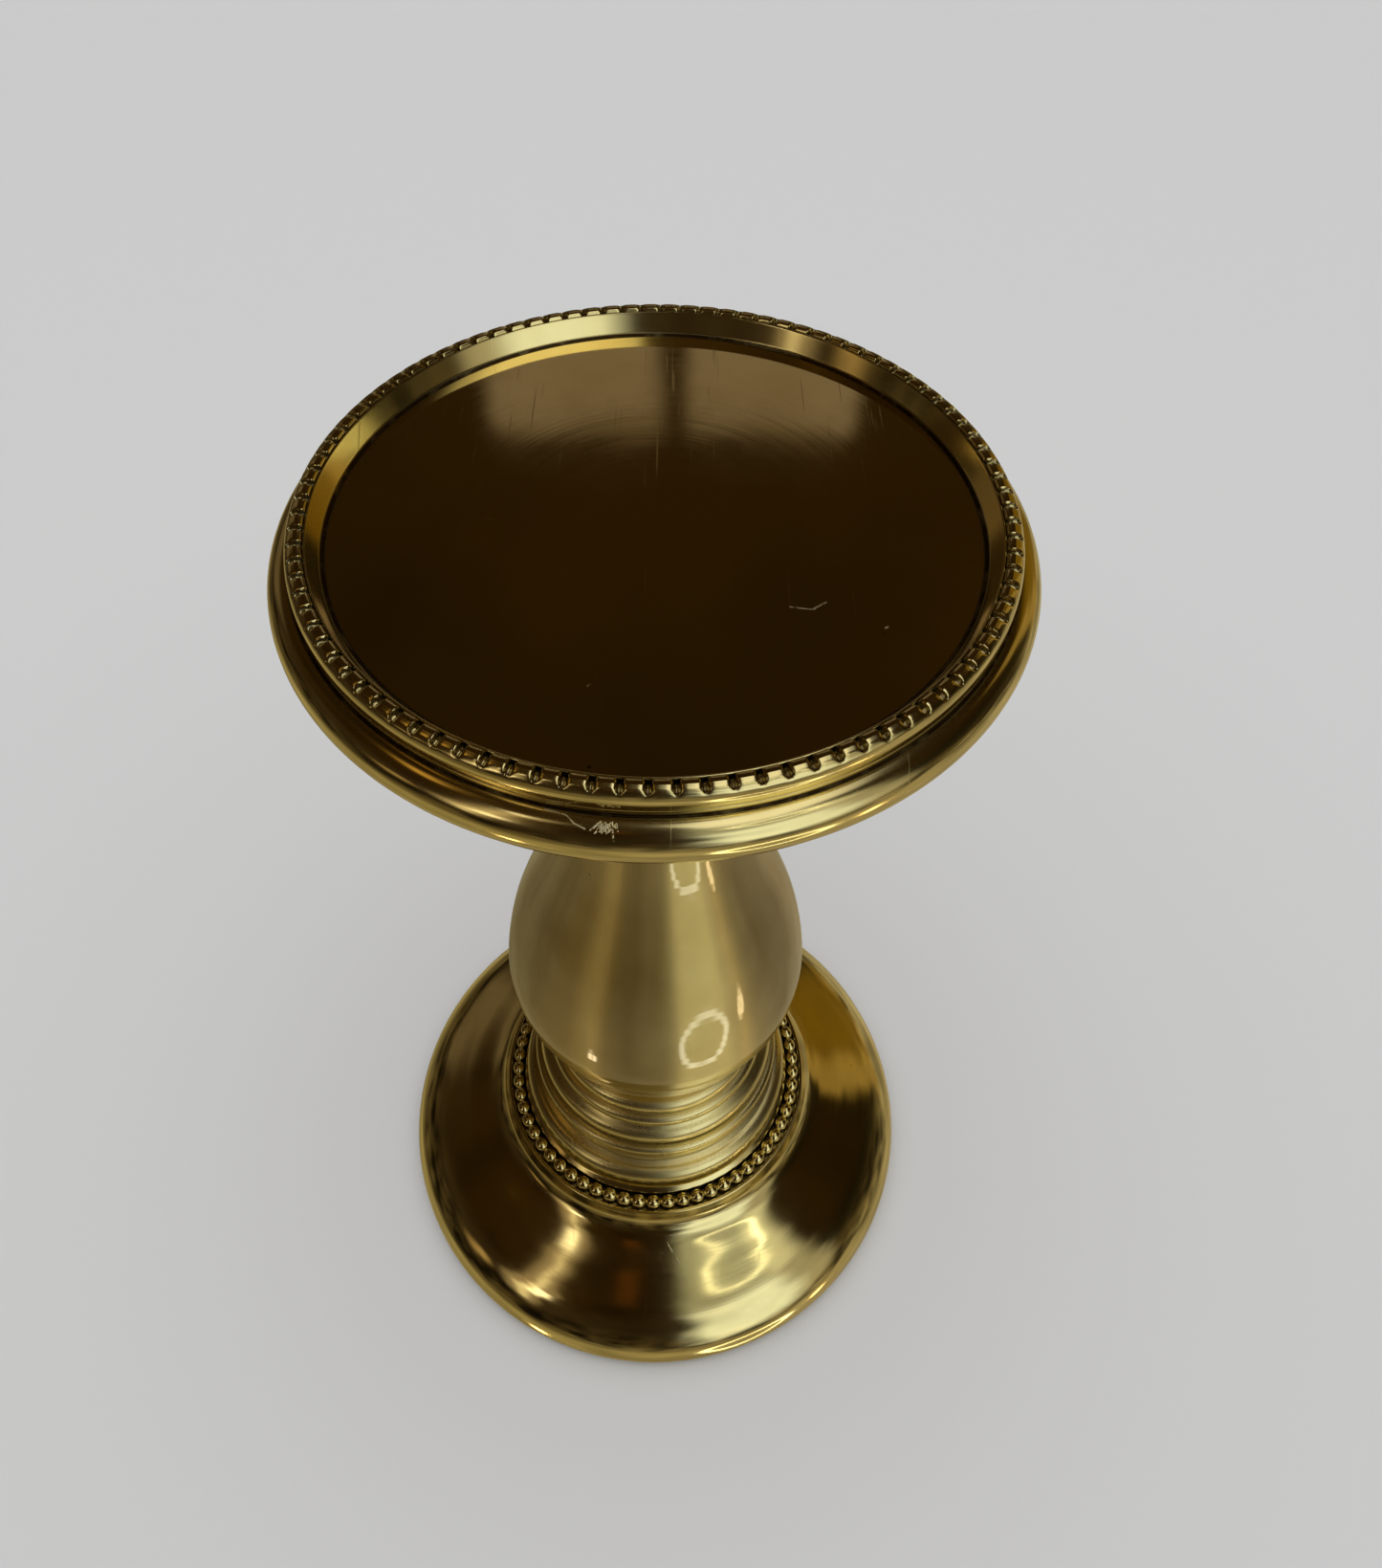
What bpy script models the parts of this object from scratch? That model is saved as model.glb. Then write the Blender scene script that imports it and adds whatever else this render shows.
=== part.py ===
"""Pillar candle holder in turned brass: a beaded pan on a pear-shaped vase, three neck
turnings and a domed foot, all drawn together by one threaded rod and a nut in the foot.

The origin is the middle of the surface it stands on, +Z is up, and lengths are in metres.
Every turned piece is a half outline in (radius, height) swept round the Z axis. Pieces are
stacked from the table upwards, so each seat height is worked out from the piece below it.
"""

import math

import bmesh
import bpy

MM = 0.001

# Clearances between pieces that touch on the bench.
SEAT_GAP = 0.3 * MM            # face to face, along the axis
FIT_GAP = 0.3 * MM             # round a spigot or the rod, in radius

# Tie rod and its fittings.
ROD_RADIUS = 4.0 * MM
ROD_TIP_GAP = 0.6 * MM         # rod's end to the bottom of its hole in the pan
ROD_CHAMFER = 0.6 * MM
ROD_BELOW_NUT = 1.8 * MM
BORE_RADIUS = ROD_RADIUS + FIT_GAP
BASE_WASHER_RADIUS = 18.0 * MM
BASE_WASHER_THICKNESS = 2.0 * MM
BASE_WASHER_CHAMFER = 0.4 * MM
LOCK_WASHER_WIDTH = 2.9 * MM   # of its metal, bore to outside
LOCK_WASHER_THICKNESS = 1.3 * MM
LOCK_WASHER_SPLIT = 8.0        # degrees
NUT_WALL = 2.5 * MM            # rod to the middle of a flat
NUT_THICKNESS = 5.0 * MM
NUT_CHAMFER = 0.5 * MM
NUT_FACE_INSET = 0.2 * MM      # round face of the nut inside its flats

# Registers that centre one piece on the next: a large hub low down, small ones above.
HUB_WALL = 7.7 * MM            # of the neck collar's hub, bore to outside
HUB_RADIUS = BORE_RADIUS + HUB_WALL
HUB_BORE_RADIUS = HUB_RADIUS + FIT_GAP
HUB_REGISTER_DEPTH = 2.0 * MM  # how far the hub goes into the foot and into the vase
REGISTER_WALL = 2.7 * MM
REGISTER_RADIUS = BORE_RADIUS + REGISTER_WALL
REGISTER_BORE_RADIUS = REGISTER_RADIUS + FIT_GAP
REGISTER_DEPTH = 2.0 * MM

# Vase.
VASE_HEIGHT = 85.3 * MM
VASE_BELLY_RADIUS = 25.3 * MM
VASE_BELLY_HEIGHT = 21.7 * MM  # above the vase's own seat
VASE_FOOT_LAND = 2.5 * MM      # width of the face that the vase stands on
VASE_FOOT_RADIUS = HUB_BORE_RADIUS + VASE_FOOT_LAND
VASE_NECK_LAND = 4.4 * MM      # width of the face round the register at the top
VASE_NECK_RADIUS = REGISTER_RADIUS + VASE_NECK_LAND
VASE_NECK_FLARE = 0.4 * MM     # the last of the neck opens out again by this much
VASE_NECK_EDGE = 0.6 * MM      # height of its top edge
VASE_WALL = 2.4 * MM
VASE_NECK_SOLID = 4.0 * MM     # solid metal at the top, where the rod passes

# Two rings under the vase, each standing out further than the piece above it.
RING_UPPER_HEIGHT = 3.5 * MM
RING_UPPER_LAND = 0.15 * MM    # flat above and below the round edge
RING_UPPER_STEP = 2.6 * MM     # middle of its round edge outside the foot of the vase
RING_UPPER_SIZE = RING_UPPER_HEIGHT / 2 - RING_UPPER_LAND
RING_UPPER_CENTRE = VASE_FOOT_RADIUS + RING_UPPER_STEP
RING_MIDDLE_SIZE = 2.0 * MM
RING_MIDDLE_FILLET = 2.2 * MM  # height of the plain step above the round edge
RING_MIDDLE_STEP = 2.3 * MM
RING_MIDDLE_RISE = 0.75 * RING_MIDDLE_SIZE  # middle of the round edge above the seat
RING_MIDDLE_HEIGHT = RING_MIDDLE_RISE + RING_MIDDLE_SIZE + RING_MIDDLE_FILLET
RING_MIDDLE_CENTRE = RING_UPPER_CENTRE + RING_MIDDLE_STEP
RING_MIDDLE_STEP_RADIUS = RING_MIDDLE_CENTRE + 0.1 * MM

# Neck collar: lower roll, hollow and upper flange.
COLLAR_ROLL_LAND = 0.3 * MM    # plain edge under the roll
COLLAR_ROLL_SIZE = 2.0 * MM
COLLAR_HOLLOW_HEIGHT = 3.8 * MM
COLLAR_HOLLOW_DEPTH = 1.3 * MM
COLLAR_HOLLOW_FILLET = 1.1 * MM
COLLAR_FLANGE_THICKNESS = 2.2 * MM
COLLAR_FLANGE_STEP = 3.1 * MM  # flange outside the middle of the ring above
COLLAR_FLANGE_RADIUS = RING_MIDDLE_CENTRE + COLLAR_FLANGE_STEP
COLLAR_HOLLOW_RADIUS = COLLAR_FLANGE_RADIUS - COLLAR_HOLLOW_DEPTH
COLLAR_ROLL_CENTRE = COLLAR_FLANGE_RADIUS + 0.1 * MM
COLLAR_ROLL_RISE = COLLAR_ROLL_LAND + 2 * COLLAR_ROLL_SIZE
COLLAR_HEIGHT = COLLAR_ROLL_RISE + COLLAR_HOLLOW_HEIGHT + COLLAR_FLANGE_THICKNESS

# Row of round beads in a channel on the foot, just outside the collar.
FOOT_BEAD_SIZE = 2.1 * MM
FOOT_BEAD_PITCH = 2.72 * MM
FOOT_BEAD_DROP = 0.2 * MM      # top of the beads below the seat of the collar
FOOT_BEAD_NECK = 0.2           # share of a bead's size lost between two beads
CHANNEL_LAND = 0.6 * MM        # collar roll to the channel
CHANNEL_CHAMFER = 0.7 * MM
CHANNEL_LIP = 0.75 * MM        # width of the small lip outside the beads
CHANNEL_LIP_DROP = 1.8 * MM
CHANNEL_INNER = COLLAR_ROLL_CENTRE + COLLAR_ROLL_SIZE + CHANNEL_LAND
FOOT_BEAD_RING_RADIUS = CHANNEL_INNER + FIT_GAP + FOOT_BEAD_SIZE / 2
CHANNEL_OUTER = FOOT_BEAD_RING_RADIUS + FOOT_BEAD_SIZE / 2 + FIT_GAP

# Foot.
FOOT_RADIUS = 48.4 * MM
FOOT_HEIGHT = 22.0 * MM        # table to the seat of the neck collar
FOOT_WALL = 2.6 * MM
FOOT_EDGE_HEIGHT = 3.2 * MM    # height at which the foot is widest
FOOT_EDGE_ROUND = 0.9 * MM     # how far the bottom edge is rounded in
FOOT_KNEE_INSET = 4.9 * MM     # where the slope starts to roll over
FOOT_KNEE_HEIGHT = 9.9 * MM
FOOT_FILLET_RUN = 3.0 * MM     # the hollow outside the lip, before the slope starts
FOOT_FILLET_FALL = 4.8 * MM
HUB_THICKNESS = 5.4 * MM       # metal under the neck collar

# Felt ring under the foot.
FELT_THICKNESS = 1.2 * MM
FELT_WIDTH = 4.2 * MM
FELT_EDGE_INSET = 1.8 * MM     # brass left outside the felt
FELT_RADIUS = FOOT_RADIUS - FELT_EDGE_INSET
BRASS_TABLE_GAP = 0.7 * MM     # how far the brass edge stays off the table

# Collar between vase and pan support.
TOP_COLLAR_HEIGHT = 6.2 * MM
TOP_COLLAR_LAND = 0.5 * MM     # flat above and below the round edge
TOP_COLLAR_SIZE = TOP_COLLAR_HEIGHT / 2 - TOP_COLLAR_LAND
TOP_COLLAR_WALL = 3.7 * MM     # register's bore to the middle of the round edge
TOP_COLLAR_CENTRE = REGISTER_BORE_RADIUS + TOP_COLLAR_WALL

# Candle pan: floor, leaning wall, border ledge and rolled edge.
PAN_FLOOR_RADIUS = 39.8 * MM   # flat floor that the candle stands on
PAN_FLOOR_THICKNESS = 2.8 * MM
PAN_FLOOR_FILLET = 0.5 * MM
PAN_DEPTH = 2.9 * MM           # floor to the top of the plain rim
PAN_WALL_LEAN = 1.6 * MM       # how far the wall leans out on its way up
PAN_RIM_WIDTH = 0.3 * MM
PAN_RIM_RADIUS = PAN_FLOOR_RADIUS + PAN_WALL_LEAN + PAN_RIM_WIDTH
PAN_LEDGE_DROP = 2.4 * MM      # ledge for the beads below the top of the rim
PAN_BOSS_WALL = 3.7 * MM       # of the threaded boss under the floor
PAN_BOSS_RADIUS = BORE_RADIUS + PAN_BOSS_WALL
PAN_BOSS_LENGTH = 9.0 * MM
PAN_BORE_COVER = 2.5 * MM      # metal left between the rod's hole and the floor

# Border of cut beads on the pan.
PAN_BEAD_WIDTH = 2.3 * MM
PAN_BEAD_RISE = 0.4 * MM       # top of the beads above the plain rim
PAN_BEAD_PITCH = 2.87 * MM
PAN_BEAD_GROOVE = 0.5 * MM     # how deep the cuts between beads go
PAN_BEAD_SHOULDER = 0.6 * MM   # how far the top edge slopes down on the outside
PAN_BEAD_RADIUS = PAN_RIM_RADIUS + PAN_BEAD_WIDTH

PAN_ROLL_SIZE = 2.9 * MM       # radius of the rolled edge
PAN_ROLL_OVERHANG = 2.85 * MM  # roll outside the border
PAN_ROLL_DROP = 3.3 * MM       # middle of the roll below the floor
PAN_ROLL_FILLET = 1.3          # where the roll meets the underside, in roll sizes
PAN_RADIUS = PAN_BEAD_RADIUS + PAN_ROLL_OVERHANG

# Flared support under the pan.
SUPPORT_HEIGHT = 24.6 * MM
SUPPORT_TOP_RADIUS = 21.0 * MM
SUPPORT_TOP_EDGE = 1.6 * MM    # height of the plain edge under the pan
SUPPORT_WAIST_WALL = 2.5 * MM  # register's bore to the waist
SUPPORT_WAIST_RADIUS = REGISTER_BORE_RADIUS + SUPPORT_WAIST_WALL
SUPPORT_BASE_STEP = 2.2 * MM   # width and height of the step at the base
SUPPORT_BASE_RADIUS = SUPPORT_WAIST_RADIUS + SUPPORT_BASE_STEP

# Faces round the axis.
WIDE_STEPS = 48
STEM_STEPS = 32
SMALL_STEPS = 24

# Heights of the stack, from the table upwards.
FELT_SEAT = FELT_THICKNESS + SEAT_GAP
HUB_CEILING = FOOT_HEIGHT - HUB_THICKNESS
FOOT_BEAD_TOP = FOOT_HEIGHT - FOOT_BEAD_DROP
CHANNEL_FLOOR = FOOT_BEAD_TOP - FOOT_BEAD_SIZE - SEAT_GAP
COLLAR_SEAT = FOOT_HEIGHT + SEAT_GAP
COLLAR_TOP = COLLAR_SEAT + COLLAR_HEIGHT
RING_MIDDLE_SEAT = COLLAR_TOP + SEAT_GAP
RING_MIDDLE_TOP = RING_MIDDLE_SEAT + RING_MIDDLE_HEIGHT
RING_UPPER_SEAT = RING_MIDDLE_TOP + SEAT_GAP
RING_UPPER_TOP = RING_UPPER_SEAT + RING_UPPER_HEIGHT
VASE_SEAT = RING_UPPER_TOP + SEAT_GAP
VASE_TOP = VASE_SEAT + VASE_HEIGHT
TOP_COLLAR_SEAT = VASE_TOP + SEAT_GAP
TOP_COLLAR_TOP = TOP_COLLAR_SEAT + TOP_COLLAR_HEIGHT
SUPPORT_SEAT = TOP_COLLAR_TOP + SEAT_GAP
SUPPORT_TOP = SUPPORT_SEAT + SUPPORT_HEIGHT
PAN_UNDERSIDE = SUPPORT_TOP + SEAT_GAP
PAN_FLOOR = PAN_UNDERSIDE + PAN_FLOOR_THICKNESS
PAN_RIM_TOP = PAN_FLOOR + PAN_DEPTH
PAN_LEDGE = PAN_RIM_TOP - PAN_LEDGE_DROP

# Heights of the fittings, hung from the underside of the foot.
BASE_WASHER_TOP = HUB_CEILING - SEAT_GAP
LOCK_WASHER_TOP = BASE_WASHER_TOP - BASE_WASHER_THICKNESS - SEAT_GAP
NUT_TOP = LOCK_WASHER_TOP - LOCK_WASHER_THICKNESS - SEAT_GAP
ROD_BOTTOM = NUT_TOP - NUT_THICKNESS - ROD_BELOW_NUT
ROD_TOP = PAN_FLOOR - PAN_BORE_COVER - ROD_TIP_GAP


# Outlines ------------------------------------------------------------------------------

def arc(centre_r, centre_z, radius, start, stop, steps):
    """Points on a circle in the half plane, from start to stop degrees (0 is outwards)."""
    points = []
    for step in range(steps + 1):
        angle = math.radians(start + (stop - start) * step / steps)
        points.append((centre_r + radius * math.cos(angle), centre_z + radius * math.sin(angle)))
    return points


def smooth_through(points, steps):
    """A Catmull-Rom curve through the points, with this many pieces between each two."""
    ends = [points[0]] + list(points) + [points[-1]]
    curve = []
    for before, start, stop, after in zip(ends, ends[1:], ends[2:], ends[3:]):
        for step in range(steps):
            t = step / steps
            curve.append(tuple(
                0.5 * (2 * b + (c - a) * t + (2 * a - 5 * b + 4 * c - d) * t ** 2
                       + (3 * b - a - 3 * c + d) * t ** 3)
                for a, b, c, d in zip(before, start, stop, after)))
    return curve + [points[-1]]


def inside_wall(outline, wall):
    """The outline moved towards the axis side by the wall, each point along its normal."""
    ends = [outline[0]] + list(outline) + [outline[-1]]
    moved = []
    for before, here, after in zip(ends, ends[1:], ends[2:]):
        run = after[0] - before[0]
        fall = after[1] - before[1]
        length = math.hypot(run, fall)
        moved.append((here[0] + wall * fall / length, here[1] - wall * run / length))
    return moved


def foot_outline():
    lip = CHANNEL_OUTER + CHANNEL_LIP
    lip_top = FOOT_HEIGHT - CHANNEL_LIP_DROP
    knee = FOOT_RADIUS - FOOT_KNEE_INSET
    slope_start = (lip + FOOT_FILLET_RUN, lip_top - FOOT_FILLET_FALL)
    slope_middle = ((slope_start[0] + knee) / 2, (slope_start[1] + FOOT_KNEE_HEIGHT) / 2 + 0.2 * MM)
    dome = smooth_through([
        (lip, lip_top - 0.5 * MM),
        (lip + 0.3 * FOOT_FILLET_RUN, lip_top - 0.6 * FOOT_FILLET_FALL),
        slope_start,
        slope_middle,
        (knee, FOOT_KNEE_HEIGHT),
        (FOOT_RADIUS - 0.25 * FOOT_KNEE_INSET, (FOOT_KNEE_HEIGHT + FOOT_EDGE_HEIGHT) / 2 - 0.25 * MM),
        (FOOT_RADIUS, FOOT_EDGE_HEIGHT)], 2)
    shelf_inner = FELT_RADIUS - FELT_WIDTH - FIT_GAP
    under_slope = inside_wall([slope_start, slope_middle, (knee, FOOT_KNEE_HEIGHT)], FOOT_WALL)
    spigot_floor = COLLAR_SEAT - HUB_REGISTER_DEPTH - SEAT_GAP
    return [
        (HUB_BORE_RADIUS, FOOT_HEIGHT),
        (CHANNEL_INNER - CHANNEL_CHAMFER, FOOT_HEIGHT),
        (CHANNEL_INNER, FOOT_HEIGHT - CHANNEL_CHAMFER),
        (CHANNEL_INNER, CHANNEL_FLOOR),
        (CHANNEL_OUTER, CHANNEL_FLOOR),
        (CHANNEL_OUTER, lip_top),
        (lip - 0.2 * MM, lip_top),
        *dome,
        (FOOT_RADIUS - 0.3 * FOOT_EDGE_ROUND, BRASS_TABLE_GAP + 0.7 * FOOT_EDGE_ROUND),
        (FOOT_RADIUS - FOOT_EDGE_ROUND, BRASS_TABLE_GAP),
        (FELT_RADIUS + FIT_GAP, BRASS_TABLE_GAP),
        (FELT_RADIUS + FIT_GAP, FELT_SEAT),
        (shelf_inner, FELT_SEAT),
        (shelf_inner, FELT_SEAT + FOOT_WALL),
        *reversed(under_slope),
        (CHANNEL_INNER, HUB_CEILING),
        (BORE_RADIUS, HUB_CEILING),
        (BORE_RADIUS, spigot_floor),
        (HUB_BORE_RADIUS, spigot_floor),
    ]


def felt_outline():
    inner = FELT_RADIUS - FELT_WIDTH
    return [(FELT_RADIUS, FELT_THICKNESS), (FELT_RADIUS, 0.0), (inner, 0.0), (inner, FELT_THICKNESS)]


def neck_collar_outline():
    roll_top = COLLAR_SEAT + COLLAR_ROLL_RISE
    roll = arc(COLLAR_ROLL_CENTRE, roll_top - COLLAR_ROLL_SIZE, COLLAR_ROLL_SIZE, 90, -75, 6)
    hub_top = VASE_SEAT + HUB_REGISTER_DEPTH
    hub_bottom = COLLAR_SEAT - HUB_REGISTER_DEPTH
    return [
        (COLLAR_FLANGE_RADIUS - COLLAR_HOLLOW_DEPTH, COLLAR_TOP),
        (COLLAR_FLANGE_RADIUS - 0.4 * COLLAR_HOLLOW_DEPTH, COLLAR_TOP - 0.3 * MM),
        (COLLAR_FLANGE_RADIUS, COLLAR_TOP - 0.4 * COLLAR_FLANGE_THICKNESS),
        (COLLAR_FLANGE_RADIUS, COLLAR_TOP - 0.7 * COLLAR_FLANGE_THICKNESS),
        (COLLAR_HOLLOW_RADIUS, COLLAR_TOP - COLLAR_FLANGE_THICKNESS),
        (COLLAR_HOLLOW_RADIUS, roll_top + COLLAR_HOLLOW_FILLET),
        (COLLAR_HOLLOW_RADIUS + 0.4 * MM, roll_top + 0.3 * COLLAR_HOLLOW_FILLET),
        *roll,
        (COLLAR_ROLL_CENTRE + 0.25 * COLLAR_ROLL_SIZE, COLLAR_SEAT),
        (HUB_RADIUS, COLLAR_SEAT),
        (HUB_RADIUS, hub_bottom),
        (BORE_RADIUS, hub_bottom),
        (BORE_RADIUS, hub_top),
        (HUB_RADIUS, hub_top),
        (HUB_RADIUS, COLLAR_TOP),
    ]


def ring_middle_outline():
    centre_z = RING_MIDDLE_SEAT + RING_MIDDLE_RISE
    return [
        (RING_UPPER_CENTRE + 0.6 * MM, RING_MIDDLE_TOP),
        (RING_MIDDLE_STEP_RADIUS - 0.7 * MM, RING_MIDDLE_TOP - 0.2 * RING_MIDDLE_FILLET),
        (RING_MIDDLE_STEP_RADIUS, RING_MIDDLE_TOP - 0.6 * RING_MIDDLE_FILLET),
        (RING_MIDDLE_STEP_RADIUS, RING_MIDDLE_TOP - 0.9 * RING_MIDDLE_FILLET),
        *arc(RING_MIDDLE_CENTRE, centre_z, RING_MIDDLE_SIZE, 75, -45, 6),
        (RING_MIDDLE_CENTRE + RING_MIDDLE_SIZE / 2, RING_MIDDLE_SEAT),
        (HUB_BORE_RADIUS, RING_MIDDLE_SEAT),
        (HUB_BORE_RADIUS, RING_MIDDLE_TOP),
    ]


def ring_upper_outline():
    centre_z = RING_UPPER_SEAT + RING_UPPER_HEIGHT / 2
    return [
        (RING_UPPER_CENTRE - 0.75 * RING_UPPER_SIZE, RING_UPPER_TOP),
        *arc(RING_UPPER_CENTRE, centre_z, RING_UPPER_SIZE, 85, -85, 6),
        (RING_UPPER_CENTRE - 0.4 * RING_UPPER_SIZE, RING_UPPER_SEAT),
        (HUB_BORE_RADIUS, RING_UPPER_SEAT),
        (HUB_BORE_RADIUS, RING_UPPER_TOP),
    ]


def vase_side():
    """The pear, from the neck down: a long taper to the belly, then a quarter curve to the
    foot. Each point is a share of the way from neck or foot to belly."""
    belly = VASE_SEAT + VASE_BELLY_HEIGHT
    lower = VASE_BELLY_RADIUS - VASE_FOOT_RADIUS
    upper = VASE_BELLY_RADIUS - VASE_NECK_RADIUS
    rise = VASE_HEIGHT - VASE_BELLY_HEIGHT
    points = [
        (VASE_NECK_RADIUS + VASE_NECK_FLARE, VASE_TOP - VASE_NECK_EDGE),
        (VASE_NECK_RADIUS, VASE_TOP - 0.06 * rise),
        (VASE_NECK_RADIUS + 0.08 * upper, belly + 0.80 * rise),
        (VASE_NECK_RADIUS + 0.22 * upper, belly + 0.62 * rise),
        (VASE_NECK_RADIUS + 0.46 * upper, belly + 0.45 * rise),
        (VASE_NECK_RADIUS + 0.735 * upper, belly + 0.293 * rise),
        (VASE_NECK_RADIUS + 0.92 * upper, belly + 0.15 * rise),
        (VASE_BELLY_RADIUS, belly),
        (VASE_FOOT_RADIUS + 0.84 * lower, belly - 0.34 * VASE_BELLY_HEIGHT),
        (VASE_FOOT_RADIUS + 0.56 * lower, belly - 0.66 * VASE_BELLY_HEIGHT),
        (VASE_FOOT_RADIUS + 0.24 * lower, belly - 0.89 * VASE_BELLY_HEIGHT),
        (VASE_FOOT_RADIUS, VASE_SEAT),
    ]
    return smooth_through(points, 2)


def vase_outline():
    side = vase_side()
    neck_floor = VASE_TOP - VASE_NECK_SOLID
    sill = VASE_SEAT + HUB_REGISTER_DEPTH + SEAT_GAP
    inside = [point for point in inside_wall(side, VASE_WALL)
              if sill + VASE_WALL < point[1] < neck_floor]
    return [
        (REGISTER_RADIUS, VASE_TOP),
        (VASE_NECK_RADIUS, VASE_TOP),
        *side,
        (HUB_BORE_RADIUS, VASE_SEAT),
        (HUB_BORE_RADIUS, sill),
        *reversed(inside[::2]),
        (BORE_RADIUS, neck_floor),
        (BORE_RADIUS, VASE_TOP + REGISTER_DEPTH),
        (REGISTER_RADIUS, VASE_TOP + REGISTER_DEPTH),
    ]


def stem_top_collar_outline():
    centre_z = TOP_COLLAR_SEAT + TOP_COLLAR_HEIGHT / 2
    recess = VASE_TOP + REGISTER_DEPTH + SEAT_GAP
    return [
        (REGISTER_RADIUS, TOP_COLLAR_TOP),
        (TOP_COLLAR_CENTRE, TOP_COLLAR_TOP),
        *arc(TOP_COLLAR_CENTRE, centre_z, TOP_COLLAR_SIZE, 75, -75, 6),
        (TOP_COLLAR_CENTRE, TOP_COLLAR_SEAT),
        (REGISTER_BORE_RADIUS, TOP_COLLAR_SEAT),
        (REGISTER_BORE_RADIUS, recess),
        (BORE_RADIUS, recess),
        (BORE_RADIUS, TOP_COLLAR_TOP + REGISTER_DEPTH),
        (REGISTER_RADIUS, TOP_COLLAR_TOP + REGISTER_DEPTH),
    ]


def pan_support_outline():
    flare = SUPPORT_TOP_RADIUS - SUPPORT_WAIST_RADIUS
    trumpet = smooth_through([
        (SUPPORT_TOP_RADIUS - 0.5 * MM, SUPPORT_TOP - SUPPORT_TOP_EDGE - 0.6 * MM),
        (SUPPORT_WAIST_RADIUS + 0.62 * flare, SUPPORT_TOP - 0.20 * SUPPORT_HEIGHT),
        (SUPPORT_WAIST_RADIUS + 0.28 * flare, SUPPORT_TOP - 0.42 * SUPPORT_HEIGHT),
        (SUPPORT_WAIST_RADIUS + 0.06 * flare, SUPPORT_TOP - 0.66 * SUPPORT_HEIGHT),
        (SUPPORT_WAIST_RADIUS, SUPPORT_TOP - 0.84 * SUPPORT_HEIGHT)], 2)
    boss_hole = PAN_BOSS_RADIUS + FIT_GAP
    boss_floor = PAN_UNDERSIDE - PAN_BOSS_LENGTH - SEAT_GAP
    recess = TOP_COLLAR_TOP + REGISTER_DEPTH + SEAT_GAP
    return [
        (SUPPORT_TOP_RADIUS, SUPPORT_TOP),
        (SUPPORT_TOP_RADIUS, SUPPORT_TOP - SUPPORT_TOP_EDGE),
        *trumpet,
        (SUPPORT_BASE_RADIUS, SUPPORT_SEAT + SUPPORT_BASE_STEP),
        (SUPPORT_BASE_RADIUS, SUPPORT_SEAT),
        (REGISTER_BORE_RADIUS, SUPPORT_SEAT),
        (REGISTER_BORE_RADIUS, recess),
        (BORE_RADIUS, recess),
        (BORE_RADIUS, boss_floor),
        (boss_hole, boss_floor),
        (boss_hole, SUPPORT_TOP),
    ]


def candle_pan_outline():
    """From the middle of the floor, over the rim and the roll, back under to the rod's hole."""
    roll_r = PAN_RADIUS - PAN_ROLL_SIZE
    roll_z = PAN_FLOOR - PAN_ROLL_DROP
    bore_end = PAN_FLOOR - PAN_BORE_COVER
    boss_end = PAN_UNDERSIDE - PAN_BOSS_LENGTH
    return [
        (0.0, PAN_FLOOR),
        (PAN_FLOOR_RADIUS, PAN_FLOOR),
        (PAN_FLOOR_RADIUS + PAN_FLOOR_FILLET, PAN_FLOOR + 0.8 * PAN_FLOOR_FILLET),
        (PAN_RIM_RADIUS - PAN_RIM_WIDTH, PAN_RIM_TOP),
        (PAN_RIM_RADIUS, PAN_RIM_TOP),
        (PAN_RIM_RADIUS, PAN_LEDGE),
        (PAN_BEAD_RADIUS - PAN_BEAD_SHOULDER, PAN_LEDGE),
        *arc(roll_r, roll_z, PAN_ROLL_SIZE, 97, -150, 13),
        (roll_r - PAN_ROLL_FILLET * PAN_ROLL_SIZE, PAN_UNDERSIDE),
        (PAN_BOSS_RADIUS, PAN_UNDERSIDE),
        (PAN_BOSS_RADIUS, boss_end),
        (BORE_RADIUS, boss_end),
        (BORE_RADIUS, bore_end),
        (0.0, bore_end),
    ]


def pan_bead_section(sunk):
    """The border's section at a bead's crest, or in the cut between two beads."""
    inner = PAN_RIM_RADIUS + FIT_GAP
    base = PAN_LEDGE + SEAT_GAP
    top = PAN_RIM_TOP + PAN_BEAD_RISE - sunk
    return [
        (PAN_BEAD_RADIUS - 0.4 * MM, top),
        (PAN_BEAD_RADIUS - sunk, top - PAN_BEAD_SHOULDER),
        (PAN_BEAD_RADIUS - 0.3 * MM, base),
        (inner, base),
        (inner, top - 0.4 * MM),
    ]


def foot_bead_section(sunk):
    """A five-sided section round the bead ring, smaller between two beads."""
    centre_z = FOOT_BEAD_TOP - FOOT_BEAD_SIZE / 2
    return arc(FOOT_BEAD_RING_RADIUS, centre_z, FOOT_BEAD_SIZE / 2 - sunk, 90, -198, 4)


def tie_rod_outline():
    return [
        (0.0, ROD_TOP),
        (ROD_RADIUS - ROD_CHAMFER, ROD_TOP),
        (ROD_RADIUS, ROD_TOP - ROD_CHAMFER),
        (ROD_RADIUS, ROD_BOTTOM + ROD_CHAMFER),
        (ROD_RADIUS - ROD_CHAMFER, ROD_BOTTOM),
        (0.0, ROD_BOTTOM),
    ]


def base_washer_outline():
    bottom = BASE_WASHER_TOP - BASE_WASHER_THICKNESS
    return [
        (BASE_WASHER_RADIUS, BASE_WASHER_TOP),
        (BASE_WASHER_RADIUS, bottom + BASE_WASHER_CHAMFER),
        (BASE_WASHER_RADIUS - BASE_WASHER_CHAMFER, bottom),
        (BORE_RADIUS, bottom),
        (BORE_RADIUS, BASE_WASHER_TOP),
    ]


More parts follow.
